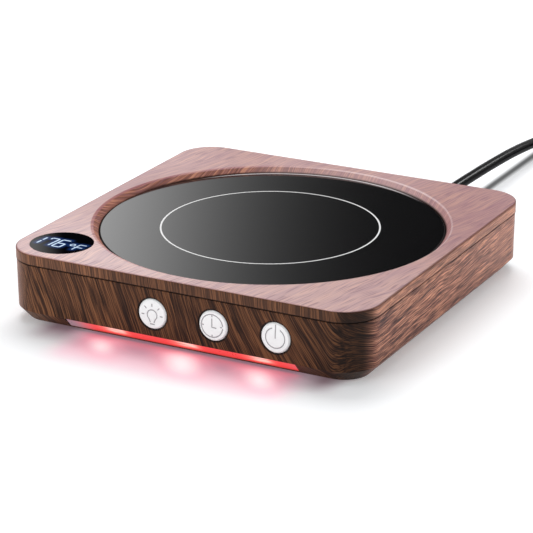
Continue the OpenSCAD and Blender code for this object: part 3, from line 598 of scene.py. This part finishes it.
def walnut_film():
    """Printed walnut film, satin on the top and dull on the walls: painted sheen makes the top pale,
    painted shade makes the front wall dark and painted light makes the right wall lighter.
    """
    material, tree, shader = new_material("walnut_film")
    at = film_spots(tree)
    across, along = film_place(tree, at)
    masks = film_masks(tree, at)
    wall, flank = masks["wall"], masks["flank"]
    grain = use(tree, GRAIN, across=across, along=along)
    # Lit and shaded copies of one figure: painted sheen on the top, painted shade on the front wall
    # and painted light on the right wall.
    top = ramp(tree, grain["Tone"], TOP_FIGURE_SHEENED)
    front = ramp(tree, grain["Tone"], FRONT_FIGURE_SHADED)
    side = ramp(tree, grain["Tone"], SIDE_FIGURE_LIT)

    def laid(mask, share, under, over, way="MIX"):
        return blend(tree, product(tree, masks[mask], share), under, over, way)

    for mask, share, colour in TOP_PAINTED_SHEEN_AND_SHADE:
        top = laid(mask, share, top, colour)
    # The left bevel takes the right wall's lit figure: painted light.
    top = laid("bevel left", 0.9, top, side)
    wood = blend(tree, wall, top, blend(tree, flank, front, side))
    pores = blend(tree, wall, TOP_PORES_SHEENED, blend(tree, flank, FRONT_PORES_SHADED, SIDE_PORES_LIT))
    share = product(tree, grain["Streak"], between(tree, flank, 0.65, 0.5))
    wood = blend(tree, share, wood, pores)
    for mask, share, colour in WALL_TONES_AND_PAINTED_LIGHT:
        wood = laid(mask, share, wood, colour)
    for mask, share in FILM_PAINTED_SHADE:
        wood = laid(mask, share, wood, SHADE_MULTIPLIER, "MULTIPLY")
    for mask, share, colour in EDGE_TONES_AND_PAINTED_LIGHT:
        wood = laid(mask, share, wood, colour)
    join(tree, shader.inputs["Base Color"], wood)
    dull = highest(tree, *[masks[mask] for mask in DULL_MASKS])
    roughness = between(tree, dull, *FILM_ROUGHNESS)
    roughness = calc(tree, "MULTIPLY_ADD", grain["Streak"], 0.12, roughness)
    join(tree, shader.inputs["Roughness"], roughness)
    bump(tree, shader, grain["Height"], 0.025, 0.5)
    coat = between(tree, highest(tree, wall, dull), TOP_COAT, 0.0)
    join(tree, shader.inputs["Coat Weight"], coat)
    shader.inputs["Coat Roughness"].default_value = 0.3
    shader.inputs["Coat IOR"].default_value = 1.6
    shader.inputs["IOR"].default_value = 1.38
    shader.inputs["Specular IOR Level"].default_value = 0.2
    return material

# ---- Warming plate ----

GLASS_TOP = box_mm("glass_plate")[1].z
GLASS_R = box_mm("glass_plate")[1].x
GLASS_COLOURS = [(0.3, tone(14, 14, 15)), (0.7, tone(20, 20, 21))]
RING_AT = (-0.8, 0, 0)
RING_R = 39.5
RING_W = 0.6
RING_SOFT = 0.06        # how far inside and outside its edge the ring fades
RING_COLOUR = rgba(228, 228, 228)
# A painted highlight along the glass's far rim
FAR_RIM_HIGHLIGHT = rgba(196, 194, 196)


def black_glass():
    """Black glass with its printed ring, a painted highlight along its far rim and a dull side."""
    material, tree, shader = new_material("black_glass")
    spot = place_mm(tree)
    x, y, z = split(tree, spot)[:3]
    flat = combine(tree, x, y)
    top_face = fade(tree, z, GLASS_TOP - 0.06, GLASS_TOP - 0.01)
    side = fade(tree, z, GLASS_TOP - 0.02, GLASS_TOP - 0.08)
    off_ring = apart(tree, vector(tree, "DISTANCE", flat, RING_AT), RING_R)
    past_ring = fade(tree, off_ring, RING_W / 2 - RING_SOFT, RING_W / 2 + RING_SOFT)
    ring = product(tree, inverse(tree, past_ring), top_face)
    rim = fade(tree, vector(tree, "LENGTH", flat), GLASS_R - 1.5, GLASS_R - 1.2)
    # A painted highlight along the glass's far rim.
    far_rim_highlight = product(tree, rim, top_face, fade(tree, y, 34.0, 50.0), fade(tree, x, 38.0, 12.0))
    ground = ramp(tree, noise(tree, spot, 6.0, 1), GLASS_COLOURS)
    ground = blend(tree, product(tree, far_rim_highlight, 0.95), ground, FAR_RIM_HIGHLIGHT)
    join(tree, shader.inputs["Base Color"], blend(tree, ring, ground, RING_COLOUR))
    smear = noise(tree, spot, 0.05, 3, 0.6)
    face = between(tree, ring, calc(tree, "MULTIPLY_ADD", smear, 0.06, 0.05), 0.45)
    join(tree, shader.inputs["Roughness"], between(tree, side, face, 0.9))
    shader.inputs["IOR"].default_value = 1.5
    return material

# ---- Display ----

DIGIT_LEAN = 0.09       # how far the digits lean, sideways for each millimetre up
DIGIT_STROKE = 0.36     # half the width of a digit's stroke
SIGN_STROKE = 0.28      # the same in the unit's letter. The degree ring's is a little thinner.
DIGIT_TOP, DIGIT_MIDDLE, DIGIT_LOW = 3.0, -0.45, -4.0
SIGN_TOP, SIGN_MIDDLE, SIGN_LOW = 1.2, -1.5, -4.0
SEGMENT_GAP = 0.35      # what a segment is short of at each end
ONE_GAP = 0.7           # the same in the first digit
SIGN_GAP = 0.2          # the same in the unit's letter
DEGREE_AT, DEGREE_R = (4.6, 0.0), 0.85
LIT_COLOUR = (0.66, 0.82, 1.0, 1)
HALO_COLOUR = (0.02, 0.07, 0.28, 1)
LENS_COLOURS = [(0.3, (0.001, 0.001, 0.0015)), (0.7, (0.002, 0.002, 0.003))]
GREY_SIDE = (-0.83, -0.56, 0)       # towards the side of the lens that mirrors the room


def bar_across(left, right, level, gap=SEGMENT_GAP):
    return ((left + gap, level), (right - gap, level))


def bar_up(x, low, high, gap=SEGMENT_GAP):
    return ((x, low + gap), (x, high - gap))


def lit_strokes():
    """176, as a seven-segment display draws it, and the letter of its unit."""
    one, seven, six = -7.8, (-5.7, -2.85), (-1.4, 1.7)
    digits = [
        bar_up(one, DIGIT_MIDDLE, DIGIT_TOP, ONE_GAP), bar_up(one, DIGIT_LOW, DIGIT_MIDDLE, ONE_GAP),
        bar_across(*seven, DIGIT_TOP), bar_up(seven[1], DIGIT_MIDDLE, DIGIT_TOP),
        bar_up(seven[1], DIGIT_LOW, DIGIT_MIDDLE), bar_up(seven[0], DIGIT_TOP - 1.3, DIGIT_TOP),
        bar_across(*six, DIGIT_TOP), bar_across(*six, DIGIT_MIDDLE), bar_across(*six, DIGIT_LOW),
        bar_up(six[0], DIGIT_MIDDLE, DIGIT_TOP), bar_up(six[0], DIGIT_LOW, DIGIT_MIDDLE),
        bar_up(six[1], DIGIT_LOW, DIGIT_MIDDLE),
    ]
    left, right = 6.9, 9.4
    letter = [
        bar_across(left, right, SIGN_TOP, SIGN_GAP),
        bar_across(left - 0.9, right, SIGN_MIDDLE, SIGN_GAP),
        bar_up(left, SIGN_MIDDLE, SIGN_TOP, SIGN_GAP),
        bar_up(left, SIGN_LOW, SIGN_MIDDLE, SIGN_GAP),
    ]
    return digits, letter


def stroke_distance(tree, point, strokes, half_width):
    """Distance outwards from the edge of the nearest stroke."""
    away = [use(tree, STROKE, point=point, start=(*start, 0), end=(*end, 0))["Distance"]
            for start, end in strokes]
    return minus(tree, lowest(tree, *away), half_width)


def ring_distance(tree, point, middle, radius, half_width):
    away = vector(tree, "DISTANCE", point, (*middle, 0))
    return minus(tree, apart(tree, away, radius), half_width)


def smoked_lens():
    """A near black lens with glowing digits, and a grey sheen on one side."""
    material, tree, shader = new_material("smoked_lens")
    middle = middle_mm("display_lens")
    spot = place_mm(tree)
    x, y, z = split(tree, spot)[:3]
    up = minus(tree, y, middle.y)
    across = minus(tree, minus(tree, x, middle.x), product(tree, up, DIGIT_LEAN))
    point = combine(tree, across, up)
    digits, letter = lit_strokes()
    near = lowest(tree, stroke_distance(tree, point, digits, DIGIT_STROKE),
                  stroke_distance(tree, point, letter, SIGN_STROKE),
                  ring_distance(tree, point, DEGREE_AT, DEGREE_R, SIGN_STROKE * 0.9))
    lit = inverse(tree, fade(tree, near, -0.1, 0.12))
    halo = calc(tree, "POWER", inverse(tree, fade(tree, near, 0.0, 2.6)), 2.2)
    power = highest(tree, lit, product(tree, halo, 0.48))
    glow = blend(tree, power, BLACK, blend(tree, lit, HALO_COLOUR, LIT_COLOUR))
    on_top = fade(tree, z, TOP - 0.06, TOP - 0.01)
    join(tree, shader.inputs["Emission Color"], blend(tree, on_top, BLACK, glow))
    shader.inputs["Emission Strength"].default_value = 1.0
    mist = noise(tree, spot, 0.2, 2)
    join(tree, shader.inputs["Base Color"], ramp(tree, mist, LENS_COLOURS))
    join(tree, shader.inputs["Roughness"], calc(tree, "MULTIPLY_ADD", mist, 0.08, 0.12))
    to_grey = vector(tree, "DOT_PRODUCT", vector(tree, "SUBTRACT", spot, middle), GREY_SIDE)
    coat = product(tree, fade(tree, to_grey, -1.0, 13.0), 0.32)
    join(tree, shader.inputs["Coat Weight"], coat)
    shader.inputs["IOR"].default_value = 1.4
    shader.inputs["Specular IOR Level"].default_value = 0.0
    return material

# ---- Buttons ----

ENGRAVED = 0.15         # half the width of an engraved line
ENGRAVED_DEPTH = 0.12
BUTTON_COLOUR = rgba(250, 252, 252)
GROOVE_COLOUR = rgba(160, 159, 162)


def arc_strokes(middle, radius, start, end, pieces):
    """Straight strokes along an arc, angles in degrees."""
    turn = [math.radians(start + (end - start) * i / pieces) for i in range(pieces + 1)]
    points = [(middle[0] + radius * math.cos(a), middle[1] + radius * math.sin(a)) for a in turn]
    return list(zip(points, points[1:]))


def ray(angle, near, far, middle):
    a = math.radians(angle)
    return ((middle[0] + near * math.cos(a), middle[1] + near * math.sin(a)),
            (middle[0] + far * math.cos(a), middle[1] + far * math.sin(a)))


def bulb_strokes():
    middle = (0, -0.35)
    bulb = arc_strokes(middle, 1.95, -52, 232, 9)
    neck = [((1.2, -1.9), (0.75, -2.9)), ((-1.2, -1.9), (-0.75, -2.9))]
    foot = [((-0.8, -3.6), (0.8, -3.6))]
    rays = [ray(a, 3.2, 4.0, middle) for a in (0, 45, 90, 135, 180)]
    return bulb + neck + foot + rays


def clock_strokes():
    middle = (-0.3, 0)
    dial = arc_strokes(middle, 4.1, 8, 352, 18)
    ticks = [ray(a, 3.3, 3.7, middle) for a in (0, 90, 180, 270)]
    hands = [((-0.35, -0.5), (-0.35, 2.5)), ((-0.35, -0.5), (1.2, -0.6))]
    return dial + ticks + hands


def power_strokes():
    return arc_strokes((0, 0), 3.6, 110, 418, 16) + [((0, 0), (0.2, 4.7))]


BUTTON_SIGNS = {
    "button_light": bulb_strokes,
    "button_timer": clock_strokes,
    "button_power": power_strokes,
}


def button_white(node):
    """White plastic with the button's sign engraved in its face."""
    material, tree, shader = new_material("button_white_" + node)
    middle = middle_mm(node)
    front = box_mm(node)[0].y
    x, y, z = split(tree, place_mm(tree))[:3]
    point = combine(tree, minus(tree, x, middle.x), minus(tree, z, middle.z))
    away = stroke_distance(tree, point, BUTTON_SIGNS[node](), ENGRAVED)
    on_face = inverse(tree, fade(tree, y, front + 0.05, front + 0.12))
    groove = product(tree, inverse(tree, fade(tree, away, -0.05, 0.1)), on_face)
    surface = use(tree, MOULDED, colour=BUTTON_COLOUR, drift=0.03, roughness=0.32, grain=3.0)
    colour = blend(tree, groove, surface["Colour"], GROOVE_COLOUR)
    join(tree, shader.inputs["Base Color"], colour)
    join(tree, shader.inputs["Roughness"], surface["Roughness"])
    lines = put(tree, "ShaderNodeBump", {"Height": inverse(tree, groove), "Strength": 1.0,
                                         "Distance": ENGRAVED_DEPTH * MM}).outputs[0]
    bump(tree, shader, surface["Height"], 0.01, 0.4, under=lines)
    return material

# ---- Light strip ----

LAMP_PITCH = 28.3
LAMP_SHIFT = 3.8        # how far each bright patch on the strip lies to the right of its lamp
STRIP_GLOW = [(0.0, (0.74, 0.048, 0.046)), (0.45, (0.92, 0.16, 0.13)), (1.0, (1.0, 0.58, 0.50))]
STRIP_END_GLOW = (0.62, 0.10, 0.11, 1)
STRIP_FOOT_GLOW = (0.62, 0.03, 0.03, 1)
# Painted light: a pale highlight along the strip's top, and a pale glow on the left end, which no
# lamp reaches.
STRIP_TOP_HIGHLIGHT = (0.9, 0.42, 0.42, 1)
STRIP_END_PAINTED_LIGHT = (0.22, 0.18, 0.22, 1)


def diffuser_red():
    """Milky red acrylic with a bright patch before each lamp, a painted highlight along its top, and
    an unlit left end that glows pale as painted light.
    """
    material, tree, shader = new_material("diffuser_red")
    low, high = box_mm("light_diffuser")
    spot = place_mm(tree)
    x, _, z = split(tree, spot)[:3]
    level = calc(tree, "DIVIDE", minus(tree, z, low.z), high.z - low.z)
    patches = []
    for lamp in (-1, 0, 1):
        peak = lamp * LAMP_PITCH + LAMP_SHIFT
        rise = fade(tree, x, peak - 10.0, peak - 1.0)
        patches.append(product(tree, rise, fade(tree, x, peak + 6.0, peak + 1.0)))
    streaks = noise(tree, combine(tree, product(tree, x, 0.12), product(tree, z, 1.6)), 1.0, 1)
    core = product(tree, fade(tree, level, 0.05, 0.35), fade(tree, level, 1.0, 0.7))
    hot = product(tree, highest(tree, *patches), fade(tree, streaks, 0.1, 0.6),
                  calc(tree, "MULTIPLY_ADD", core, 0.6, 0.4))
    glow = ramp(tree, hot, STRIP_GLOW)
    glow = blend(tree, fade(tree, x, high.x + 1.0, high.x - 8.0), STRIP_END_GLOW, glow)
    glow = blend(tree, fade(tree, level, 0.25, 0.0), glow, STRIP_FOOT_GLOW)
    # The left end, which no lamp reaches, glows pale: painted light.
    glow = blend(tree, fade(tree, x, low.x + 3.0, low.x + 14.0), STRIP_END_PAINTED_LIGHT, glow)
    # A painted highlight along the strip's top.
    top_highlight = product(tree, fade(tree, level, 0.86, 0.98), 0.5)
    glow = blend(tree, top_highlight, glow, STRIP_TOP_HIGHLIGHT)
    join(tree, shader.inputs["Emission Color"], glow)
    shader.inputs["Emission Strength"].default_value = 1.0
    milk = noise(tree, spot, 0.35, 3, 0.6)
    colour = blend(tree, milk, rgba(120, 26, 24), rgba(150, 40, 38))
    join(tree, shader.inputs["Base Color"], colour)
    join(tree, shader.inputs["Roughness"], calc(tree, "MULTIPLY_ADD", milk, 0.15, 0.22))
    return material

# ---- Plain finishes ----

def moulded(name, colour, roughness, drift=0.3, grain=2.5, depth=0.02, specular=0.5):
    material, tree, shader = new_material(name)
    surface = use(tree, MOULDED, colour=(*colour, 1), drift=drift, roughness=roughness, grain=grain)
    join(tree, shader.inputs["Base Color"], surface["Colour"])
    join(tree, shader.inputs["Roughness"], surface["Roughness"])
    bump(tree, shader, surface["Height"], depth, 0.5)
    shader.inputs["Specular IOR Level"].default_value = specular
    shader.inputs["IOR"].default_value = 1.46
    return material


def brushed(name, colour, width=0.25, roughness=0.3):
    material, tree, shader = new_material(name)
    line = use(tree, BRUSHED, place=place_mm(tree), width=width)["Line"]
    dark = tuple(part * DIM for part in colour)
    join(tree, shader.inputs["Base Color"], blend(tree, line, (*dark, 1), (*colour, 1)))
    uneven = calc(tree, "MULTIPLY_ADD", line, 0.25, roughness - 0.1)
    join(tree, shader.inputs["Roughness"], uneven)
    bump(tree, shader, line, 0.01, 0.4)
    shader.inputs["Metallic"].default_value = 1.0
    return material


def circuit_board():
    """Green solder mask, raised in a pattern of cells as over copper."""
    material, tree, shader = new_material("circuit_board")
    spot = place_mm(tree)
    cells = put(tree, "ShaderNodeTexBrick", {
        "Vector": spot, "Color1": BLACK, "Color2": WHITE, "Mortar": (0.5, 0.5, 0.5, 1),
        "Scale": 0.35, "Mortar Size": 0.03}).outputs["Fac"]
    drift = noise(tree, spot, 0.3, 2)
    mask = blend(tree, drift, rgba(16, 74, 40), rgba(24, 96, 52))
    join(tree, shader.inputs["Base Color"], blend(tree, cells, mask, rgba(46, 128, 70)))
    join(tree, shader.inputs["Roughness"], calc(tree, "MULTIPLY_ADD", drift, 0.2, 0.25))
    bump(tree, shader, cells, 0.04, 0.6)
    return material


def mica_heater():
    """Etched foil rings between mica sheets."""
    material, tree, shader = new_material("mica_heater")
    spot = place_mm(tree)
    x, y = split(tree, spot)[:2]
    from_axis = vector(tree, "LENGTH", combine(tree, x, y))
    track = calc(tree, "SINE", product(tree, from_axis, 2.1))
    foil = fade(tree, track, 0.1, 0.4)
    flakes = noise(tree, spot, 0.9, 3, 0.7)
    mica = blend(tree, flakes, rgba(176, 150, 104), rgba(206, 184, 142))
    join(tree, shader.inputs["Base Color"], blend(tree, foil, mica, rgba(150, 146, 138)))
    join(tree, shader.inputs["Roughness"], between(tree, foil, 0.5, 0.3))
    bump(tree, shader, foil, 0.05, 0.6)
    return material


MOULDED_LOOKS = {
    "black_silicone": dict(colour=tone(30, 30, 30), roughness=0.8, specular=0.05),
    "fibre_pad": dict(colour=tone(232, 229, 219), roughness=0.9, drift=0.35, grain=1.2, depth=0.25),
    "sensor_resin": dict(colour=tone(150, 84, 44), roughness=0.25),
    "white_plastic": dict(colour=tone(232, 231, 228), roughness=0.42),
    "black_plastic": dict(colour=tone(34, 34, 36), roughness=0.42),
    "lamp_epoxy": dict(colour=tone(244, 238, 206), roughness=0.2, drift=0.2),
    "tape_yellow": dict(colour=tone(226, 188, 60), roughness=0.3),
    "can_blue": dict(colour=tone(38, 46, 96), roughness=0.28),
    "relay_blue": dict(colour=tone(52, 112, 176), roughness=0.3),
    "terminal_green": dict(colour=tone(58, 142, 86), roughness=0.35),
    "fuse_ceramic": dict(colour=tone(226, 218, 196), roughness=0.5),
    "cord_pvc": dict(colour=tone(13, 13, 14), roughness=0.24, grain=1.6, depth=0.004, specular=0.016),
    "foot_rubber": dict(colour=tone(28, 28, 28), roughness=0.75, drift=0.4, grain=3.0, depth=0.05),
}
BRUSHED_LOOKS = {
    "aluminium_disc": dict(colour=tone(214, 216, 218)),
    "pressed_steel": dict(colour=tone(196, 198, 200), width=0.4, roughness=0.36),
    "screw_steel": dict(colour=tone(206, 206, 208), width=0.15, roughness=0.28),
    "fuse_metal": dict(colour=tone(206, 208, 212), width=0.2),
    "blade_brass": dict(colour=tone(214, 208, 188), width=0.3, roughness=0.26),
}


FINISHES = {
    "walnut_film": walnut_film(),
    "black_glass": black_glass(),
    "smoked_lens": smoked_lens(),
    "diffuser_red": diffuser_red(),
    "circuit_board": circuit_board(),
    "mica_heater": mica_heater(),
}
for name, look in MOULDED_LOOKS.items():
    FINISHES[name] = moulded(name, **look)
for name, look in BRUSHED_LOOKS.items():
    FINISHES[name] = brushed(name, **look)


def dress_nodes():
    for part in frame["record"]["subparts"]:
        node, slot = part["node"], part["material_slot"]
        material = button_white(node) if slot == "button_white" else FINISHES[slot]
        for place in NODES[node].material_slots:
            place.material = material


dress_nodes()
cord.data.materials.append(FINISHES["cord_pvc"])

# ---- Studio ----

AMBIENT = 0.55          # strength of the light from all round, where it falls on things
WORLD_COLOUR = (1.0, 0.995, 1.0, 1)
FLOOR_SIZE = 12
FLOOR_COLOUR = (0.90, 0.915, 0.93, 1)
FLOOR_LIFT = 0.17       # the floor's own light, as the camera and mirrors see it
CARD_SIZE = (0.36, 0.16)
CARD_AT = (-0.20, 0.35, 0.172)
CARD_PEAK = 2.05        # brightness of the mirrored card at its brightest upright
CARD_PEAK_AT = 0.126    # where that is, as a share of the card's width from its left edge
CARD_FALL = 12.8        # how fast it darkens from there
LEAD_LIGHT_SIZE = (0.40, 0.30)
LEAD_LIGHT_AT = (0.36, 1.07, 0.55)
LEAD_LIGHT_STRENGTH = 38.0

# Name, place, what it points at, width and length, and power in watts
AREA_LIGHTS = [
    ("overhead", (-0.32, 0.6, 1.06), (0, 0, 0), (0.8, 0.8), 9.5),
    ("right_side", (1.05, 0.5, 0.5), (0, 0, 0.015), (0.6, 0.3), 3.2),
    ("front_side", (-0.6, -1.2, 0.30), (0, 0, 0.015), (0.8, 0.3), 5.5),
]


def seen_or_reflected(tree):
    """1 for camera, glossy and transmission rays, and 0 for the light that falls on things."""
    path = put(tree, "ShaderNodeLightPath").outputs
    return highest(tree, path["Is Camera Ray"], path["Is Glossy Ray"], path["Is Transmission Ray"])


def make_world():
    world = bpy.data.worlds.new("studio")
    world.use_nodes = True
    tree = world.node_tree
    background = tree.nodes["Background"]
    join(tree, background.inputs["Color"], WORLD_COLOUR)
    strength = between(tree, seen_or_reflected(tree), AMBIENT, 1.0)
    join(tree, background.inputs["Strength"], strength)
    bpy.context.scene.world = world


def flat_sheet(name, size, place, turn=(0, 0, 0)):
    mesh = bpy.data.meshes.new(name)
    shape = bmesh.new()
    bmesh.ops.create_grid(shape, x_segments=1, y_segments=1, size=0.5)
    bmesh.ops.scale(shape, vec=(*size, 1), verts=shape.verts)
    shape.to_mesh(mesh)
    shape.free()
    sheet = bpy.data.objects.new(name, mesh)
    sheet.location = place
    sheet.rotation_euler = turn
    bpy.context.collection.objects.link(sheet)
    return sheet

# ---- Floor, with the strip's pool of light, the shade by the case's front and the lead's shade, all painted on ----

POOL_BLOBS = [(-27.0, -75.0, 2.7), (5.0, -75.5, 0.0), (35.0, -76.0, 1.5)]   # x, y, how faint
POOL_SKEW = 0.55        # how far a blob leans to the right for each millimetre forwards
POOL_NEAR_TINT, POOL_FAR_TINT = (0.74, 0.46, 0.58, 1), (1.0, 0.76, 0.83, 1)
# Painted shade by the case's front, either side of the pool
FLOOR_PAINTED_SHADE = (0.46, 0.32, 0.37, 1)
HAZE_GLOW = (0.15, 0.03, 0.045, 1)
HALO_TINT, HALO_GLOW = (1.0, 0.60, 0.68, 1), (0.30, 0.07, 0.10, 1)
CORE_TINT, CORE_GLOW = (1.0, 0.94, 0.95, 1), (0.40, 0.32, 0.33, 1)
SHADE_X = CORD_EXIT.x - 1.0
SHADE_REACH = (3.4, 0.3)        # how far aside the lead's shade ends, and is full
SHADE_END = (225.0, 200.0)      # how far back it ends, and is still full
SHADE_DEPTH = 0.86


def blob_distance(tree, x, y, blob):
    """How far a floor point lies from a slanting blob's middle, and more if the blob is faint."""
    middle_x, middle_y, faint = blob
    forward = minus(tree, middle_y, y)
    aside = minus(tree, minus(tree, x, middle_x), product(tree, forward, POOL_SKEW))
    away = vector(tree, "LENGTH", combine(tree, aside, product(tree, forward, 0.8)))
    return calc(tree, "ADD", away, faint)


def pool_of_light(tree):
    """The strip's red light painted on the floor as a tint and a glow: three pale blobs in a haze,
    with painted shade by the case's front on either side of the pool.
    """
    x, y = split(tree, place_mm(tree))[:2]
    ahead = minus(tree, -HALF, y)

    def by_x(start, end):
        return fade(tree, x, start, end)

    def by_ahead(start, end):
        return fade(tree, ahead, start, end)

    blob = lowest(tree, *[blob_distance(tree, x, y, blob) for blob in POOL_BLOBS])
    lifted = by_ahead(-7.0, 2.0)
    core = product(tree, fade(tree, blob, 10.0, 0.0), lifted)
    halo = product(tree, fade(tree, blob, 16.0, 3.0), lifted)
    haze = product(tree, by_ahead(-2.0, 11.0), by_ahead(28.0, 15.0))
    tint = blend(tree, by_ahead(0.0, 13.0), POOL_NEAR_TINT, POOL_FAR_TINT)
    tint = blend(tree, product(tree, halo, 0.8), tint, HALO_TINT)
    tint = blend(tree, core, tint, CORE_TINT)
    glow = blend(tree, haze, BLACK, HAZE_GLOW)
    glow = blend(tree, halo, glow, HALO_GLOW)
    glow = blend(tree, core, glow, CORE_GLOW)
    along = product(tree, by_x(-46.0, -34.0), by_x(55.0, 41.0))
    pool = product(tree, along, by_ahead(28.0, 11.0), by_ahead(-14.0, -4.0))
    # Painted shade on the floor by the case's front, either side of the pool.
    under = product(tree, by_x(-60.0, -50.0), by_x(64.0, 54.0), inverse(tree, along),
                    by_ahead(12.0, -4.0), by_ahead(-14.0, -6.0))
    tint = blend(tree, pool, blend(tree, under, WHITE, FLOOR_PAINTED_SHADE), tint)
    return tint, blend(tree, pool, BLACK, glow)


def lead_shade(tree):
    """The close shade under the lead, from the case to where the lead nears the table."""
    x, y = split(tree, place_mm(tree))[:2]
    band = fade(tree, apart(tree, x, SHADE_X), *SHADE_REACH)
    return product(tree, band, fade(tree, y, HALF, HALF + 4.0), fade(tree, y, *SHADE_END))


def make_floor():
    floor = flat_sheet("floor", (FLOOR_SIZE, FLOOR_SIZE), (0, 0, 0))
    material, tree, shader = new_material("floor_white")
    tint, glow = pool_of_light(tree)
    tint = blend(tree, product(tree, lead_shade(tree), SHADE_DEPTH), tint, BLACK)
    colour = blend(tree, 1.0, tint, FLOOR_COLOUR, "MULTIPLY")
    join(tree, shader.inputs["Base Color"], colour)
    shader.inputs["Roughness"].default_value = 0.9
    shader.inputs["Specular IOR Level"].default_value = 0.0
    lift = blend(tree, 1.0, tint, (FLOOR_LIFT, FLOOR_LIFT, FLOOR_LIFT, 1), "MULTIPLY")
    lift = blend(tree, 1.0, lift, glow, "ADD")
    lift = blend(tree, seen_or_reflected(tree), BLACK, lift)
    join(tree, shader.inputs["Emission Color"], lift)
    shader.inputs["Emission Strength"].default_value = 1.0
    floor.data.materials.append(material)

# ---- Cards and lamps ----

def only_mirrored(card):
    """Hides a card from everything but glossy reflections."""
    card.visible_camera = False
    card.visible_diffuse = False
    card.visible_shadow = False
    card.visible_transmission = False


def make_card():
    """A graded card behind the case that the glass mirrors."""
    card = flat_sheet("graded_card", CARD_SIZE, CARD_AT, (math.radians(90), 0, 0))
    material = bpy.data.materials.new("card_grade")
    material.use_nodes = True
    tree = material.node_tree
    tree.nodes.clear()
    x = split(tree, put(tree, "ShaderNodeTexCoord").outputs["Object"])[0]
    span = {"Value": x, "From Min": -CARD_SIZE[0] / 2, "From Max": CARD_SIZE[0] / 2}
    off_peak = minus(tree, put(tree, "ShaderNodeMapRange", span).outputs[0], CARD_PEAK_AT)
    fall = product(tree, off_peak, off_peak, -CARD_FALL)
    level = product(tree, calc(tree, "EXPONENT", fall), CARD_PEAK)
    light = put(tree, "ShaderNodeEmission", {"Color": WHITE, "Strength": level}).outputs[0]
    put(tree, "ShaderNodeOutputMaterial", {"Surface": light})
    card.data.materials.append(material)
    only_mirrored(card)


def make_lead_light():
    """A bright card that draws a line of light on the round lead, and lights nothing else."""
    card = flat_sheet("lead_light", LEAD_LIGHT_SIZE, LEAD_LIGHT_AT)
    card.rotation_euler = (-Vector(LEAD_LIGHT_AT)).to_track_quat("Z", "Y").to_euler()
    material, _, shader = new_material("lead_light")
    shader.inputs["Base Color"].default_value = BLACK
    shader.inputs["Emission Color"].default_value = WHITE
    shader.inputs["Emission Strength"].default_value = LEAD_LIGHT_STRENGTH
    card.data.materials.append(material)
    only_mirrored(card)
    lit = bpy.data.collections.new("lit_by_lead_light")
    lit.objects.link(cord)
    card.light_linking.receiver_collection = lit


def area_light(name, place, aim, size, power):
    data = bpy.data.lights.new(name, "AREA")
    data.shape = "RECTANGLE"
    data.size, data.size_y = size
    data.energy = power
    lamp = bpy.data.objects.new(name, data)
    lamp.location = place
    lamp.rotation_euler = (Vector(aim) - Vector(place)).to_track_quat("-Z", "Y").to_euler()
    lamp.visible_glossy = False
    bpy.context.collection.objects.link(lamp)


make_world()
make_floor()
make_card()
make_lead_light()
for light in AREA_LIGHTS:
    area_light(*light)
bpy.context.scene.view_settings.view_transform = "Standard"
